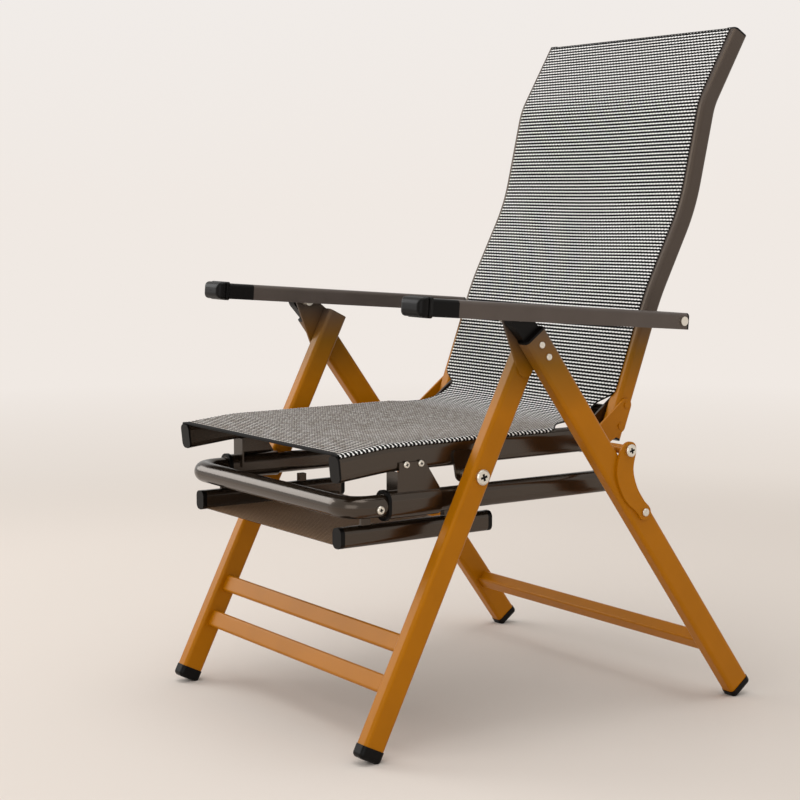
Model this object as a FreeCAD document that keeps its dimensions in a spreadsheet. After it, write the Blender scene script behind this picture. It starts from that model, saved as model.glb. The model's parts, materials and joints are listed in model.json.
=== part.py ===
import FreeCAD, Part
import math
import os
import Sketcher
from FreeCAD import Placement, Rotation, Vector

# Folding reclining chair with a sliding footrest, in millimetres.
# The sitter faces -Y, +Z is up, X = 0 is the middle plane, Z = 0 is the floor,
# and Y = 0 is the middle of the chair's depth. Left is +X, the sitter's own left.

doc = FreeCAD.newDocument("folding_reclining_chair")
sheet = doc.addObject("Spreadsheet::Sheet", "Sizes")

# Driving dimensions: alias, value, what it is. Angles are in degrees.
SIZES = [
    ("hinge_y", -125.0, "leg hinge, depth place"),
    ("hinge_z", 614.0, "leg hinge, height"),
    ("front_lean_angle", 26.5, "front leg from the vertical"),
    ("front_leg_offset", 57.4, "hinge to the front leg's centreline"),
    ("front_leg_over", 4.0, "front leg's top end past the hinge's foot on it"),
    ("front_leg_width", 25.0, "front leg across"),
    ("front_leg_depth", 36.0, "front leg fore and aft"),
    ("front_leg_x", 266.5, "front leg's middle"),
    ("rear_lean_angle", 36.35, "rear leg from the vertical"),
    ("rear_leg_offset", 3.1, "hinge to the rear leg's centreline"),
    ("rear_leg_gap", 34.6, "hinge to the rear leg's top end"),
    ("rear_leg_width", 25.0, "rear leg across"),
    ("rear_leg_depth", 40.0, "rear leg fore and aft"),
    ("rear_leg_x", 300.0, "rear leg's middle"),
    ("leg_corner", 6.0, "corner radius of the legs' tubes"),
    ("tube_wall", 1.5, "wall of all the tubes"),
    ("foot_cap_length", 24.0, "foot cap along the leg"),
    ("foot_cap_lip", 1.0, "foot cap proud of the leg, each side"),
    ("foot_round", 6.5, "rounding of the foot cap's end"),
    ("foot_flat_depth", 1.5, "depth of the flat that the foot stands on"),
    ("front_bar_upper_z", 155.0, "upper front crossbar, height"),
    ("front_bar_lower_z", 100.0, "lower front crossbar, height"),
    ("front_bar_tall", 27.0, "front crossbars along the leg"),
    ("front_bar_thick", 14.0, "front crossbars across the leg"),
    ("rear_bar_z", 90.0, "rear crossbar, height"),
    ("rear_bar_tall", 24.0, "rear crossbar along the leg"),
    ("rear_bar_thick", 22.0, "rear crossbar across the leg"),
    ("bar_corner", 4.0, "corner radius of the crossbars"),
    ("hinge_plate_thick", 4.0, "hinge plate"),
    ("hinge_eye_radius", 15.0, "hinge plate round the pin"),
    ("hinge_root_radius", 13.0, "hinge plate's rounds on the leg"),
    ("hinge_root_high", 14.0, "upper round, below the leg's top end"),
    ("hinge_root_low", 58.0, "lower round, below the leg's top end"),
    ("pin_radius", 4.0, "all the pivot pins and bolts"),
    ("pin_play", 0.08, "pin's running clearance in a hole"),
    ("side_play", 0.3, "gap between pieces that turn past each other"),
    ("roller_radius", 8.0, "roller that the arm's rack rests on"),
    ("roller_length", 16.0, "roller along the pin"),
    ("washer_radius", 9.0, "washer beside the knuckle"),
    ("knuckle_radius", 16.0, "knuckle round the pin"),
    ("knuckle_block", 3.0, "knuckle's block on the leg's end"),
    ("knuckle_plug", 60.0, "knuckle's plug inside the leg"),
    ("knuckle_setback", 8.0, "knuckle's head inside the leg's outer face"),
    ("plug_gap", 0.2, "gap round a plug inside a tube"),
    ("rivet_radius", 2.5, "rivet shank"),
    ("rivet_head", 4.8, "rivet head radius"),
    ("rivet_head_thick", 1.6, "rivet head"),
    ("knuckle_rivet_near", 50.0, "hinge to the first knuckle rivet"),
    ("knuckle_rivet_far", 72.0, "hinge to the second knuckle rivet"),
    ("seat_pivot_z", 388.5, "seat pivot on the front leg, height"),
    ("back_pivot_y", 73.0, "seat, back and link pivot, depth place"),
    ("back_pivot_z", 412.0, "seat, back and link pivot, height"),
    ("link_rivet_y", 105.0, "link rivet on the rear leg, depth place"),
    ("link_rivet_z", 316.0, "link rivet on the rear leg, height"),
    ("link_thick", 4.0, "link plate"),
    ("link_rivet_radius", 3.0, "link rivet shank"),
    ("link_rivet_head", 6.0, "link rivet head radius"),
    ("big_head_radius", 9.4, "link bolts' heads"),
    ("seat_bolt_head", 11.3, "seat pivot bolts' heads"),
    ("big_head_thick", 4.2, "cross head bolts' heads"),
    ("spacer_radius", 7.0, "spacers round the bolts"),
    ("rail_x", 219.0, "seat and back rails, middle"),
    ("rail_width", 25.0, "seat and back rails across"),
    ("seat_rail_tall", 38.0, "seat rail, height of its section"),
    ("seat_rail_corner", 9.0, "seat rail, corner radius"),
    ("seat_front_y", -381.0, "seat rail, front end"),
    ("seat_front_drop", 10.2, "seat rail, front end below its level part"),
    ("seat_bend_y", -297.0, "seat rail, bend"),
    ("seat_bend_drop", 1.5, "seat rail's bend below its rear end"),
    ("seat_bend_radius", 300.0, "seat rail, radius of the bend"),
    ("seat_rear_y", 87.0, "seat rail, rear end"),
    ("seat_rail_z", 420.0, "seat rail, centreline at the rear end"),
    ("rail_cap_thick", 3.0, "lips of the plugs in the rails' ends"),
    ("rail_plug_length", 9.0, "those plugs inside the rails"),
    ("seat_tube_radius", 11.0, "seat cross tubes"),
    ("seat_front_tube_y", -290.0, "front cross tube"),
    ("seat_rear_tube_y", 8.0, "rear cross tube"),
    ("bracket_thick", 4.0, "seat pivot bracket"),
    ("bracket_eye_radius", 13.0, "seat pivot bracket round the bolt"),
    ("bracket_root_radius", 6.0, "seat pivot bracket's rounds on the rail"),
    ("bracket_root_half", 12.0, "half the distance between those rounds"),
    ("bracket_root_up", 28.0, "those rounds above the pivot"),
    ("slide_z", 353.0, "footrest slide, height"),
    ("slide_x", 225.5, "footrest slide, middle"),
    ("slide_width", 24.0, "slide tube across"),
    ("slide_tall", 34.0, "slide tube, height"),
    ("slide_corner", 11.0, "slide tube, corner radius"),
    ("slide_front_y", -308.5, "slide tube, front end"),
    ("slide_rear_y", 104.0, "slide tube, rear end"),
    ("slide_play", 0.4, "slide tube's clearance in the sleeve"),
    ("sleeve_wall", 2.6, "sleeve, wall"),
    ("sleeve_front_y", -303.0, "sleeve, front end"),
    ("sleeve_rear_y", -215.0, "sleeve, rear end"),
    ("collar_wall", 4.6, "collar, wall across"),
    ("collar_length", 5.2, "collar along the slide"),
    ("slide_plate_thick", 3.0, "slide bracket, plate"),
    ("slide_plate_top_front", -285.0, "slide bracket, front edge"),
    ("slide_plate_top_rear", -241.0, "slide bracket, rear edge at the top"),
    ("slide_plate_lap", 13.0, "slide bracket, lap on the rail"),
    ("slide_rivet_in", 12.0, "bracket rivets from the front edge"),
    ("slide_rivet_pitch", 25.0, "between the bracket rivets"),
    ("hoop_radius", 16.0, "footrest hoop, tube"),
    ("hoop_front_y", -361.0, "hoop's front bar"),
    ("hoop_bend", 34.0, "hoop, radius of its bends"),
    ("panel_pivot_y", -322.5, "footrest panel's hinge screws, depth place"),
    ("panel_pivot_drop", 3.0, "hinge screws below the hoop's middle"),
    ("screw_radius", 3.0, "hinge screw shank"),
    ("screw_head", 6.0, "hinge screw head radius"),
    ("screw_head_thick", 2.5, "hinge screw head"),
    ("panel_rail_width", 22.5, "footrest panel's rail across"),
    ("panel_rail_tall", 30.0, "footrest panel's rail, height"),
    ("panel_rail_corner", 9.0, "footrest panel's rail, corner radius"),
    ("panel_rail_x", 201.25, "footrest panel's rail, middle"),
    ("panel_top_z", 323.5, "footrest panel's rail, top"),
    ("panel_front_y", -362.0, "footrest panel's rail, front end"),
    ("panel_rear_y", -110.0, "footrest panel's rail, rear end"),
    ("panel_cap", 7.0, "footrest panel's rail caps"),
    ("mesh_thick", 1.5, "footrest mesh"),
    ("lug_thick", 5.0, "footrest lugs"),
    ("lug_setback", 4.0, "footrest lugs off the hoop's inner side"),
    ("lug_eye_radius", 8.0, "footrest lug round the screw"),
    ("pad_y", -180.0, "footrest panel's rear pads"),
    ("pad_length", 12.0, "rear pad along the rail"),
    ("pad_width", 10.0, "rear pad across"),
    ("pad_tall", 12.0, "rear pad above the rail"),
    ("back_rail_deep", 28.0, "back rail, depth of its section"),
    ("back_rail_corner", 6.0, "back rail, corner radius"),
    ("sling_thick", 2.0, "sling"),
    ("sling_gap", 0.3, "sling off the rails"),
    ("back_sling_half", 219.5, "half the sling's width on the back"),
    ("seat_sling_half", 225.0, "half the sling's width on the seat"),
    ("seat_sling_rear_y", 5.0, "where the sling leaves the seat rails"),
    ("back_sling_low", 64.0, "where the sling meets the back rails, up from their ends"),
    ("back_low_tube_up", 34.0, "lower back tube, up from the rails' ends"),
    ("back_low_tube_tall", 26.0, "lower back tube along the back"),
    ("back_low_tube_deep", 22.0, "lower back tube, depth"),
    ("back_top_tube_down", 20.0, "upper back tube, down from the rails' ends"),
    ("back_top_tube_radius", 11.0, "upper back tube"),
    ("back_lug_thick", 4.0, "back lug plates"),
    ("back_lug_radius", 15.0, "back lug round the pivot"),
    ("back_lug_root", 10.0, "back lug's rounds on the rail"),
    ("back_lug_low", 18.0, "lower round, up from the rail's end"),
    ("back_lug_high", 52.0, "upper round, up from the rail's end"),
    ("pin_head_radius", 7.0, "small bolt heads and nuts"),
    ("pin_head_thick", 2.6, "small bolt heads"),
    ("nut_thick", 4.0, "nuts"),
    ("arm_pivot_y", 186.0, "arm's screw on the back rail, depth place"),
    ("arm_pivot_z", 599.0, "arm's screw on the back rail, height"),
    ("arm_tilt_angle", 4.36, "arm's slope, front end up"),
    ("arm_clear_in", 3.2, "arm's inner wall off the roller"),
    ("arm_clear_out", 1.0, "arm's outer wall off the knuckle"),
    ("arm_tall", 25.0, "arm, height of its side"),
    ("arm_wall", 2.0, "arm's walls"),
    ("arm_corner", 6.0, "arm's upper corners"),
    ("arm_trim", 8.0, "section cut away below the arm to open it"),
    ("arm_front", 422.0, "arm's channel, forward of the screw"),
    ("arm_rear", 8.0, "arm's channel, behind the screw"),
    ("arm_cap_thick", 3.0, "arm's end cap"),
    ("grip_length", 63.0, "grip"),
    ("grip_wall", 2.5, "grip's walls"),
    ("grip_nose", 5.5, "rounding of the grip's nose"),
    ("rack_pitch", 17.0, "rack's notches, pitch"),
    ("rack_notch", 4.0, "rack's notches, depth"),
    ("rack_tip", 0.4, "rack's tips below the screw's height"),
    ("overrun", 5.0, "how far a cutting tool runs past a face"),
]
RACK_COUNT = 6

# The back's front line in side view, as offsets from the back pivot, with the
# radius of the bend at each inner point.
BACK_LINE = [
    ("low", 31.0, 13.0, 0.0),
    ("lumbar", 111.0, 228.0, 420.0),
    ("upper", 182.0, 365.0, 300.0),
    ("neck", 219.0, 526.0, 120.0),
    ("top", 285.0, 639.0, 0.0),
]

row = 1
for alias, value, note in SIZES:
    sheet.set("A%d" % row, note)
    sheet.set("B%d" % row, str(value))
    sheet.setAlias("B%d" % row, alias)
    row += 1
for name, along_y, along_z, bend in BACK_LINE:
    for suffix, value in (("dy", along_y), ("dz", along_z), ("bend", bend)):
        sheet.set("A%d" % row, "back line, " + name)
        sheet.set("B%d" % row, str(value))
        sheet.setAlias("B%d" % row, "back_%s_%s" % (name, suffix))
        row += 1
doc.recompute()


def size(alias):
    """A driving dimension, read from the sheet."""
    return float(sheet.get(alias))


def total(*terms):
    """A sum of named sizes, each an alias or an (alias, factor): value and expression."""
    value = 0.0
    words = []
    for term in terms:
        alias, factor = term if isinstance(term, tuple) else (term, 1)
        value += factor * size(alias)
        words.append("%g * Sizes.%s" % (factor, alias))
    return value, " + ".join(words)


def bind(thing, field, amount):
    """Sets a property from a plain value, or from a total that binds it to the sheet."""
    if isinstance(amount, tuple):
        thing.setExpression(field, amount[1])
    else:
        setattr(thing, field, amount)


def outline(sketch, width, depth, corner):
    """A rounded rectangle about the sketch's origin, fully constrained to the sheet."""
    half_w = width[0] / 2
    half_d = depth[0] / 2
    radius = corner[0]
    flat_w = half_w - radius
    flat_d = half_d - radius
    first = sketch.GeometryCount
    ends = [
        ((-flat_w, -half_d), (flat_w, -half_d)),
        ((half_w, -flat_d), (half_w, flat_d)),
        ((flat_w, half_d), (-flat_w, half_d)),
        ((-half_w, flat_d), (-half_w, -flat_d)),
    ]
    centres = [(flat_w, -flat_d), (flat_w, flat_d), (-flat_w, flat_d), (-flat_w, -flat_d)]
    for index in range(4):
        start, end = ends[index]
        line = Part.LineSegment(Vector(start[0], start[1], 0), Vector(end[0], end[1], 0))
        sketch.addGeometry(line, False)
        centre = Vector(centres[index][0], centres[index][1], 0)
        circle = Part.Circle(centre, Vector(0, 0, 1), radius)
        turn = math.radians(90 * index - 90)
        sketch.addGeometry(Part.ArcOfCircle(circle, turn, turn + math.radians(90)), False)
    for index in range(4):
        line = first + 2 * index
        arc = line + 1
        after = first + (2 * index + 2) % 8
        sketch.addConstraint(Sketcher.Constraint("Tangent", line, 2, arc, 1))
        sketch.addConstraint(Sketcher.Constraint("Tangent", arc, 2, after, 1))
        level = "Horizontal" if index % 2 == 0 else "Vertical"
        sketch.addConstraint(Sketcher.Constraint(level, line))
        if index:
            sketch.addConstraint(Sketcher.Constraint("Equal", first + 1, arc))
    sketch.addConstraint(Sketcher.Constraint("Symmetric", first, 1, first + 4, 1, -1, 1))
    bound = [
        (Sketcher.Constraint("Radius", first + 1, radius), corner),
        (Sketcher.Constraint("DistanceX", first + 6, 1, first + 2, 1, width[0]), width),
        (Sketcher.Constraint("DistanceY", first, 1, first + 4, 1, depth[0]), depth),
    ]
    for constraint, amount in bound:
        index = sketch.addConstraint(constraint)
        sketch.setExpression("Constraints[%d]" % index, amount[1])


def bar(name, width, depth, corner, length, wall=None):
    """A body along its own Z with a rounded rectangular section, hollow where it has a wall."""
    body = doc.addObject("PartDesign::Body", name)
    plane = [feature for feature in body.Origin.OriginFeatures if feature.Role == "XY_Plane"][0]
    sketch = body.newObject("Sketcher::SketchObject", name + "_section")
    sketch.AttachmentSupport = [(plane, "")]
    sketch.MapMode = "FlatFace"
    outline(sketch, total(*width), total(*depth), total(*corner))
    if wall:
        inner_width = total(*width, (wall, -2))
        inner_depth = total(*depth, (wall, -2))
        outline(sketch, inner_width, inner_depth, total(*corner, (wall, -1)))
    pad = body.newObject("PartDesign::Pad", name + "_pad")
    pad.Profile = sketch
    bind(pad, "Length", length)
    body.Tip = pad
    return body


def place(thing, x, y, z, rotation=None):
    """Puts an object's own origin at a place."""
    thing.Placement = Placement(Vector(x, y, z), rotation or Rotation())
    return thing


def rounded_end(body, radius, name):
    """Rounds the outline of a body's far or near end, the face lowest along its own Z."""
    doc.recompute()
    pad = body.Tip
    faces = pad.Shape.Faces
    lowest = min(range(len(faces)), key=lambda index: faces[index].CenterOfMass.z)
    fillet = body.newObject("PartDesign::Fillet", name)
    fillet.Base = (pad, ["Face%d" % (lowest + 1)])
    bind(fillet, "Radius", total(radius))
    body.Tip = fillet
    return body


def rod(name, start, end, y, z, radius):
    """A cylinder along X."""
    cylinder = doc.addObject("Part::Cylinder", name)
    bind(cylinder, "Radius", total(*radius))
    cylinder.Height = end - start
    return place(cylinder, start, y, z, Rotation(Vector(0, 1, 0), 90))


def block(name, low, high):
    """A box between two corners."""
    box = doc.addObject("Part::Box", name)
    box.Length = high[0] - low[0]
    box.Width = high[1] - low[1]
    box.Height = high[2] - low[2]
    return place(box, *low)


def fuse(name, *parts):
    """Joins objects into one solid."""
    union = doc.addObject("Part::MultiFuse", name)
    union.Shapes = list(parts)
    union.Refine = True
    return union


def group(name, *parts):
    """Puts separate solids in one node."""
    compound = doc.addObject("Part::Compound", name)
    compound.Links = list(parts)
    return compound


def cut(name, base, *tools):
    """Takes one or more objects away from another."""
    tool = tools[0]
    if len(tools) > 1:
        tool = group(name + "_tools", *tools)
    result = doc.addObject("Part::Cut", name)
    result.Base = base
    result.Tool = tool
    return result


def twin(source):
    """The same piece on the other side of the chair."""
    mirrored = doc.addObject("Part::Mirroring", source.Name + "_twin")
    mirrored.Source = source
    mirrored.Base = Vector(0, 0, 0)
    mirrored.Normal = Vector(1, 0, 0)
    return mirrored


pieces = {}


def keep(name, thing):
    """Makes an object a sub-part under its own name."""
    thing.Label = name
    pieces[name] = thing


def pair(name, thing):
    """A left piece and its twin on the right, each a sub-part."""
    keep(name + "_left", thing)
    keep(name + "_right", twin(thing))


def both(name, *things):
    """One sub-part that groups pieces of the left side and their twins."""
    keep(name, group(name, *things, *[twin(thing) for thing in things]))


def tilted(angle):
    """A turn about X that leans +Z by an angle, towards +Y where it is positive."""
    return Rotation(Vector(1, 0, 0), -angle)


def across(angle):
    """Lays a bar's Z along +X, with its Y along a line that leans by the angle."""
    lean = math.radians(angle)
    up = Vector(0, math.sin(lean), math.cos(lean))
    side = up.cross(Vector(1, 0, 0))
    return Rotation(side, up, Vector(1, 0, 0), "ZXY")


def spot(y, z):
    """A point in side view."""
    return Vector(0, y, z)


def trace(points, aside, x):
    """Edges of a line in side view with rounded turns, moved to its left by aside.

    Each point is a place and the radius of the bend there.
    """
    ways = []
    for (here, _), (there, _) in zip(points, points[1:]):
        ways.append((there - here).normalize())
    lefts = [Vector(0, -way.z, way.y) for way in ways]
    corners = [points[0][0] + lefts[0] * aside]
    for index in range(1, len(ways)):
        before = lefts[index - 1]
        after = lefts[index]
        corners.append(points[index][0] + (before + after) * (aside / (1 + before.dot(after))))
    corners.append(points[-1][0] + lefts[-1] * aside)
    shift = Vector(x, 0, 0)
    edges = []
    start = corners[0]
    for index in range(1, len(ways)):
        before = ways[index - 1]
        after = ways[index]
        turn = before.getAngle(after)
        hand = 1 if before.cross(after).x > 0 else -1
        radius = points[index][1] - aside * hand
        trim = radius * math.tan(turn / 2)
        bend_start = corners[index] - before * trim
        bend_end = corners[index] + after * trim
        inward = (after - before).normalize()
        middle = corners[index] + inward * (radius / math.cos(turn / 2) - radius)
        edges.append(Part.LineSegment(start + shift, bend_start + shift).toShape())
        edges.append(Part.Arc(bend_start + shift, middle + shift, bend_end + shift).toShape())
        start = bend_end
    edges.append(Part.LineSegment(start + shift, corners[-1] + shift).toShape())
    return edges


def shaped(name, shape):
    """An object whose shape is worked out from the sheet's sizes."""
    thing = doc.addObject("Part::Feature", name)
    thing.Shape = shape
    return thing


def band(name, points, low, high, x_start, x_end):
    """A sheet that follows a line in side view, between two distances to its left."""
    under = trace(points, low, x_start)
    over = trace(points, high, x_start)
    first = Part.LineSegment(under[-1].lastVertex().Point, over[-1].lastVertex().Point)
    last = Part.LineSegment(over[0].firstVertex().Point, under[0].firstVertex().Point)
    edges = under + [first.toShape()] + over[::-1] + [last.toShape()]
    face = Part.Face(Part.Wire(edges))
    return shaped(name, face.extrude(Vector(x_end - x_start, 0, 0)))


def section_wire(width, depth, corner):
    """A rounded rectangle in the XY plane."""
    flat_w = width / 2 - corner
    flat_d = depth / 2 - corner
    slant = corner * math.sqrt(0.5)
    edges = []
    for turn in range(4):
        half, other = (flat_w, flat_d) if turn % 2 == 0 else (flat_d, flat_w)
        low = Vector(-half, -other - corner, 0)
        high = Vector(half, -other - corner, 0)
        middle = Vector(half + slant, -other - slant, 0)
        end = Vector(half + corner, -other, 0)
        spin = Rotation(Vector(0, 0, 1), 90 * turn)
        edges.append(Part.LineSegment(spin * low, spin * high).toShape())
        edges.append(Part.Arc(spin * high, spin * middle, spin * end).toShape())
    return Part.Wire(edges)


def swept(name, wire, spine_edges):
    """A solid that carries a section along a spine."""
    spine = shaped(name + "_spine", Part.Wire(spine_edges))
    section = shaped(name + "_section", wire)
    sweep = doc.addObject("Part::Sweep", name)
    sweep.Sections = [section]
    sweep.Spine = (spine, ["Edge%d" % (index + 1) for index in range(len(spine_edges))])
    sweep.Solid = True
    sweep.Frenet = False
    return sweep


def bent_rail(name, points, aside, width, depth, corner):
    """A hollow rail along a line in side view."""
    edges = trace(points, aside, size("rail_x"))
    start = edges[0].firstVertex().Point
    way = points[1][0] - points[0][0]
    turn = Rotation(Vector(1, 0, 0), -math.degrees(math.atan2(way.y, way.z)))
    wall = size("tube_wall")
    solids = []
    for label, inset in (("outer", 0), ("inner", wall)):
        wire = section_wire(width - 2 * inset, depth - 2 * inset, corner - inset)
        wire.Placement = Placement(start, turn)
        solids.append(swept(name + "_" + label, wire, edges))
    return cut(name, *solids)


def rounds_face(rounds, x):
    """The face whose outline wraps round two or three circles (y, z, radius) in side view."""
    faces = []
    for y, z, radius in rounds:
        circle = Part.Circle(Vector(x, y, z), Vector(1, 0, 0), radius)
        faces.append(Part.Face(Part.Wire(circle.toShape())))
    count = len(rounds)
    for index in range(count if count > 2 else 1):
        y_a, z_a, radius_a = rounds[index]
        y_b, z_b, radius_b = rounds[(index + 1) % count]
        heading = math.atan2(z_b - z_a, y_b - y_a)
        spread = math.acos((radius_a - radius_b) / math.hypot(y_b - y_a, z_b - z_a))
        corners = []
        for y, z, radius, sides in ((y_a, z_a, radius_a, (1, -1)), (y_b, z_b, radius_b, (-1, 1))):
            for side in sides:
                angle = heading + side * spread
                corners.append(Vector(x, y + radius * math.cos(angle), z + radius * math.sin(angle)))
        faces.append(Part.Face(Part.makePolygon(corners + corners[:1])))
    if count > 2:
        middles = [Vector(x, y, z) for y, z, _ in rounds]
        faces.append(Part.Face(Part.makePolygon(middles + middles[:1])))
    return faces[0].fuse(faces[1:]).removeSplitter()


def plate(name, rounds, x_start, x_end):
    """A plate across X whose outline wraps round two or three circles in side view."""
    face = rounds_face(rounds, x_start)
    return shaped(name, face.extrude(Vector(x_end - x_start, 0, 0)))


def slab(name, corners, x_start, x_end):
    """A plate across X with straight edges, its corners (y, z) in side view."""
    points = [Vector(x_start, y, z) for y, z in corners]
    face = Part.Face(Part.makePolygon(points + points[:1]))
    return shaped(name, face.extrude(Vector(x_end - x_start, 0, 0)))


# Places worked out from the driving dimensions, in side view
hinge = spot(size("hinge_y"), size("hinge_z"))
front_lean = size("front_lean_angle")
rear_lean = size("rear_lean_angle")
front_up = tilted(front_lean) * Vector(0, 0, 1)
front_side = tilted(front_lean) * Vector(0, 1, 0)
rear_up = tilted(-rear_lean) * Vector(0, 0, 1)
rear_side = tilted(-rear_lean) * Vector(0, 1, 0)
front_foot_of_hinge = hinge + front_side * size("front_leg_offset")
rear_foot_of_hinge = hinge + rear_side * size("rear_leg_offset")
front_floor = front_foot_of_hinge - front_up * (front_foot_of_hinge.z / front_up.z)
rear_floor = rear_foot_of_hinge - rear_up * (rear_foot_of_hinge.z / rear_up.z)
front_top = front_foot_of_hinge + front_up * size("front_leg_over")
rear_top = rear_foot_of_hinge - rear_up * size("rear_leg_gap")


def on_leg(floor, up, height):
    """The point of a leg's centreline at a height."""
    return floor + up * (height / up.z)


seat_pivot = on_leg(front_floor, front_up, size("seat_pivot_z"))
back_pivot = spot(size("back_pivot_y"), size("back_pivot_z"))
link_rivet = spot(size("link_rivet_y"), size("link_rivet_z"))
arm_pivot = spot(size("arm_pivot_y"), size("arm_pivot_z"))

# Faces across the chair, from the middle outwards
over = size("overrun")
gap = size("side_play")
pin = ("pin_radius",)
running = ("pin_radius", "pin_play")
rail_in = size("rail_x") - size("rail_width") / 2
rail_out = size("rail_x") + size("rail_width") / 2
front_in = size("front_leg_x") - size("front_leg_width") / 2
front_out = size("front_leg_x") + size("front_leg_width") / 2
rear_in = size("rear_leg_x") - size("rear_leg_width") / 2
rear_out = size("rear_leg_x") + size("rear_leg_width") / 2
hinge_plate_out = front_out + size("hinge_plate_thick")
knuckle_in = rear_in + gap
knuckle_out = rear_out - size("knuckle_setback")
roller_out = front_out - gap
roller_in = roller_out - size("roller_length")
link_in = rear_out + gap
link_out = link_in + size("link_thick")


def leg(name, width, depth, x, floor, lean, top):
    """A leg's tube, from its foot cap up to its top end."""
    up = tilted(lean) * Vector(0, 0, 1)
    start = floor + up * size("foot_cap_length")
    tube = bar(name, (width,), (depth,), ("leg_corner",), (top - start).Length, "tube_wall")
    return place(tube, x, start.y, start.z, tilted(lean))


def foot(name, width, depth, x, floor, lean):
    """A domed cap on a leg's end, cut flat by the floor."""
    slope = math.radians(abs(lean))
    bend = size("foot_round")
    lip = size("foot_cap_lip")
    reach = size(depth) / 2 + lip - bend
    low = (bend - size("foot_flat_depth") + math.sin(slope) * reach) / math.cos(slope) - bend
    up = tilted(lean) * Vector(0, 0, 1)
    start = floor + up * low
    length = size("foot_cap_length") - low
    cap = bar(name, (width, ("foot_cap_lip", 2)), (depth, ("foot_cap_lip", 2)),
              ("leg_corner", "foot_cap_lip"), length)
    rounded_end(cap, "foot_round", name + "_round")
    place(cap, x, start.y, start.z, tilted(lean))
    wide = size(width) + over
    deep = size(depth) + size("foot_cap_length")
    ground = block(name + "_ground", (x - wide, floor.y - deep, -deep), (x + wide, floor.y + deep, 0))
    return cut(name + "_cap", cap, ground)


def crossbar(name, section, half, middle, lean, wall="tube_wall"):
    """A bar between two legs, with its section turned to the legs' lean."""
    tall, thick = section
    tube = bar(name, (thick,), (tall,), ("bar_corner",), 2 * half, wall)
    return place(tube, -half, middle.y, middle.z, across(lean))


def drill(name, x_start, x_end, point, radius):
    """A cutting cylinder for a hole along X."""
    return rod(name, x_start - over, x_end + over, point.y, point.z, radius)


def pin_along(name, point, *steps):
    """A turned pin along X: each step has a start, an end and a radius."""
    rods = []
    for index, (start, end, radius) in enumerate(steps):
        rods.append(rod("%s_step%d" % (name, index), start, end, point.y, point.z, radius))
    return fuse(name, *rods)


# Rear leg frame
rear_tube = leg("rear_tube", "rear_leg_width", "rear_leg_depth", size("rear_leg_x"),
                rear_floor, -rear_lean, rear_top)
knuckle_rivets = [rear_foot_of_hinge - rear_up * size(name)
                  for name in ("knuckle_rivet_near", "knuckle_rivet_far")]
rear_holes = [drill("link_rivet_hole", rear_in, rear_out, link_rivet, ("link_rivet_radius",))]
for index, point in enumerate(knuckle_rivets):
    rear_holes.append(drill("knuckle_rivet_hole%d" % index, size("rear_leg_x"), rear_out, point,
                            ("rivet_radius",)))
pair("rear_leg", cut("rear_leg", rear_tube, *rear_holes))
both("rear_feet", foot("rear_foot", "rear_leg_width", "rear_leg_depth", size("rear_leg_x"),
                       rear_floor, -rear_lean))
keep("rear_crossbar", crossbar("rear_bar", ("rear_bar_tall", "rear_bar_thick"), rear_in,
                               on_leg(rear_floor, rear_up, size("rear_bar_z")), -rear_lean))

plug_depth = ("rear_leg_depth", ("tube_wall", -2), ("plug_gap", -2))
plug_width = ("rear_leg_width", ("tube_wall", -2), ("plug_gap", -2))
knuckle_plug = bar("knuckle_plug", plug_width, plug_depth,
                   ("leg_corner", ("tube_wall", -1), ("plug_gap", -1)), total("knuckle_plug"))
plug_start = rear_top - rear_up * size("knuckle_plug")
place(knuckle_plug, size("rear_leg_x"), plug_start.y, plug_start.z, tilted(-rear_lean))
knuckle_block = bar("knuckle_block", ("rear_leg_width",), ("rear_leg_depth",), ("leg_corner",),
                    total("knuckle_block"))
place(knuckle_block, size("rear_leg_x"), rear_top.y, rear_top.z, tilted(-rear_lean))
neck_root = rear_top + rear_up * (size("knuckle_block") / 2)
knuckle_head = plate("knuckle_head", [(hinge.y, hinge.z, size("knuckle_radius")),
                                      (neck_root.y, neck_root.z, size("knuckle_radius"))],
                     knuckle_in, knuckle_out)
leg_end = bar("leg_end", ("rear_leg_width",), ("rear_leg_depth",), ("leg_corner",),
              total("knuckle_plug"))
place(leg_end, size("rear_leg_x"), plug_start.y, plug_start.z, tilted(-rear_lean))
knuckle_solid = fuse("knuckle_solid", knuckle_plug, knuckle_block,
                     cut("knuckle_neck", knuckle_head, leg_end))
pair("rear_knuckle", cut("rear_knuckle", knuckle_solid,
                         drill("knuckle_hole", knuckle_in, knuckle_out, hinge, pin),
                         *[drill("knuckle_plug_hole%d" % index, size("rear_leg_x"), rear_out, point,
                                 ("rivet_radius",)) for index, point in enumerate(knuckle_rivets)]))

head_out = rear_out + size("rivet_head_thick")
rivets = []
for index, point in enumerate(knuckle_rivets):
    rivets.append(pin_along("knuckle_rivet%d" % index, point,
                            (size("rear_leg_x") - over, rear_out, ("rivet_radius",)),
                            (rear_out, head_out, ("rivet_head",))))
rivets.append(pin_along("link_rivet", link_rivet,
                        (rear_in, link_out + gap, ("link_rivet_radius",)),
                        (rear_in - size("rivet_head_thick"), rear_in, ("link_rivet_head",)),
                        (link_out + gap, link_out + gap + size("screw_head_thick"),
                         ("link_rivet_head",))))
both("leg_rivets", *rivets)
both("hinge_pins", pin_along("hinge_pin", hinge,
                             (roller_in, knuckle_out, pin),
                             (roller_in, roller_out, ("roller_radius",)),
                             (hinge_plate_out + gap, knuckle_in, ("washer_radius",))))

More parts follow.
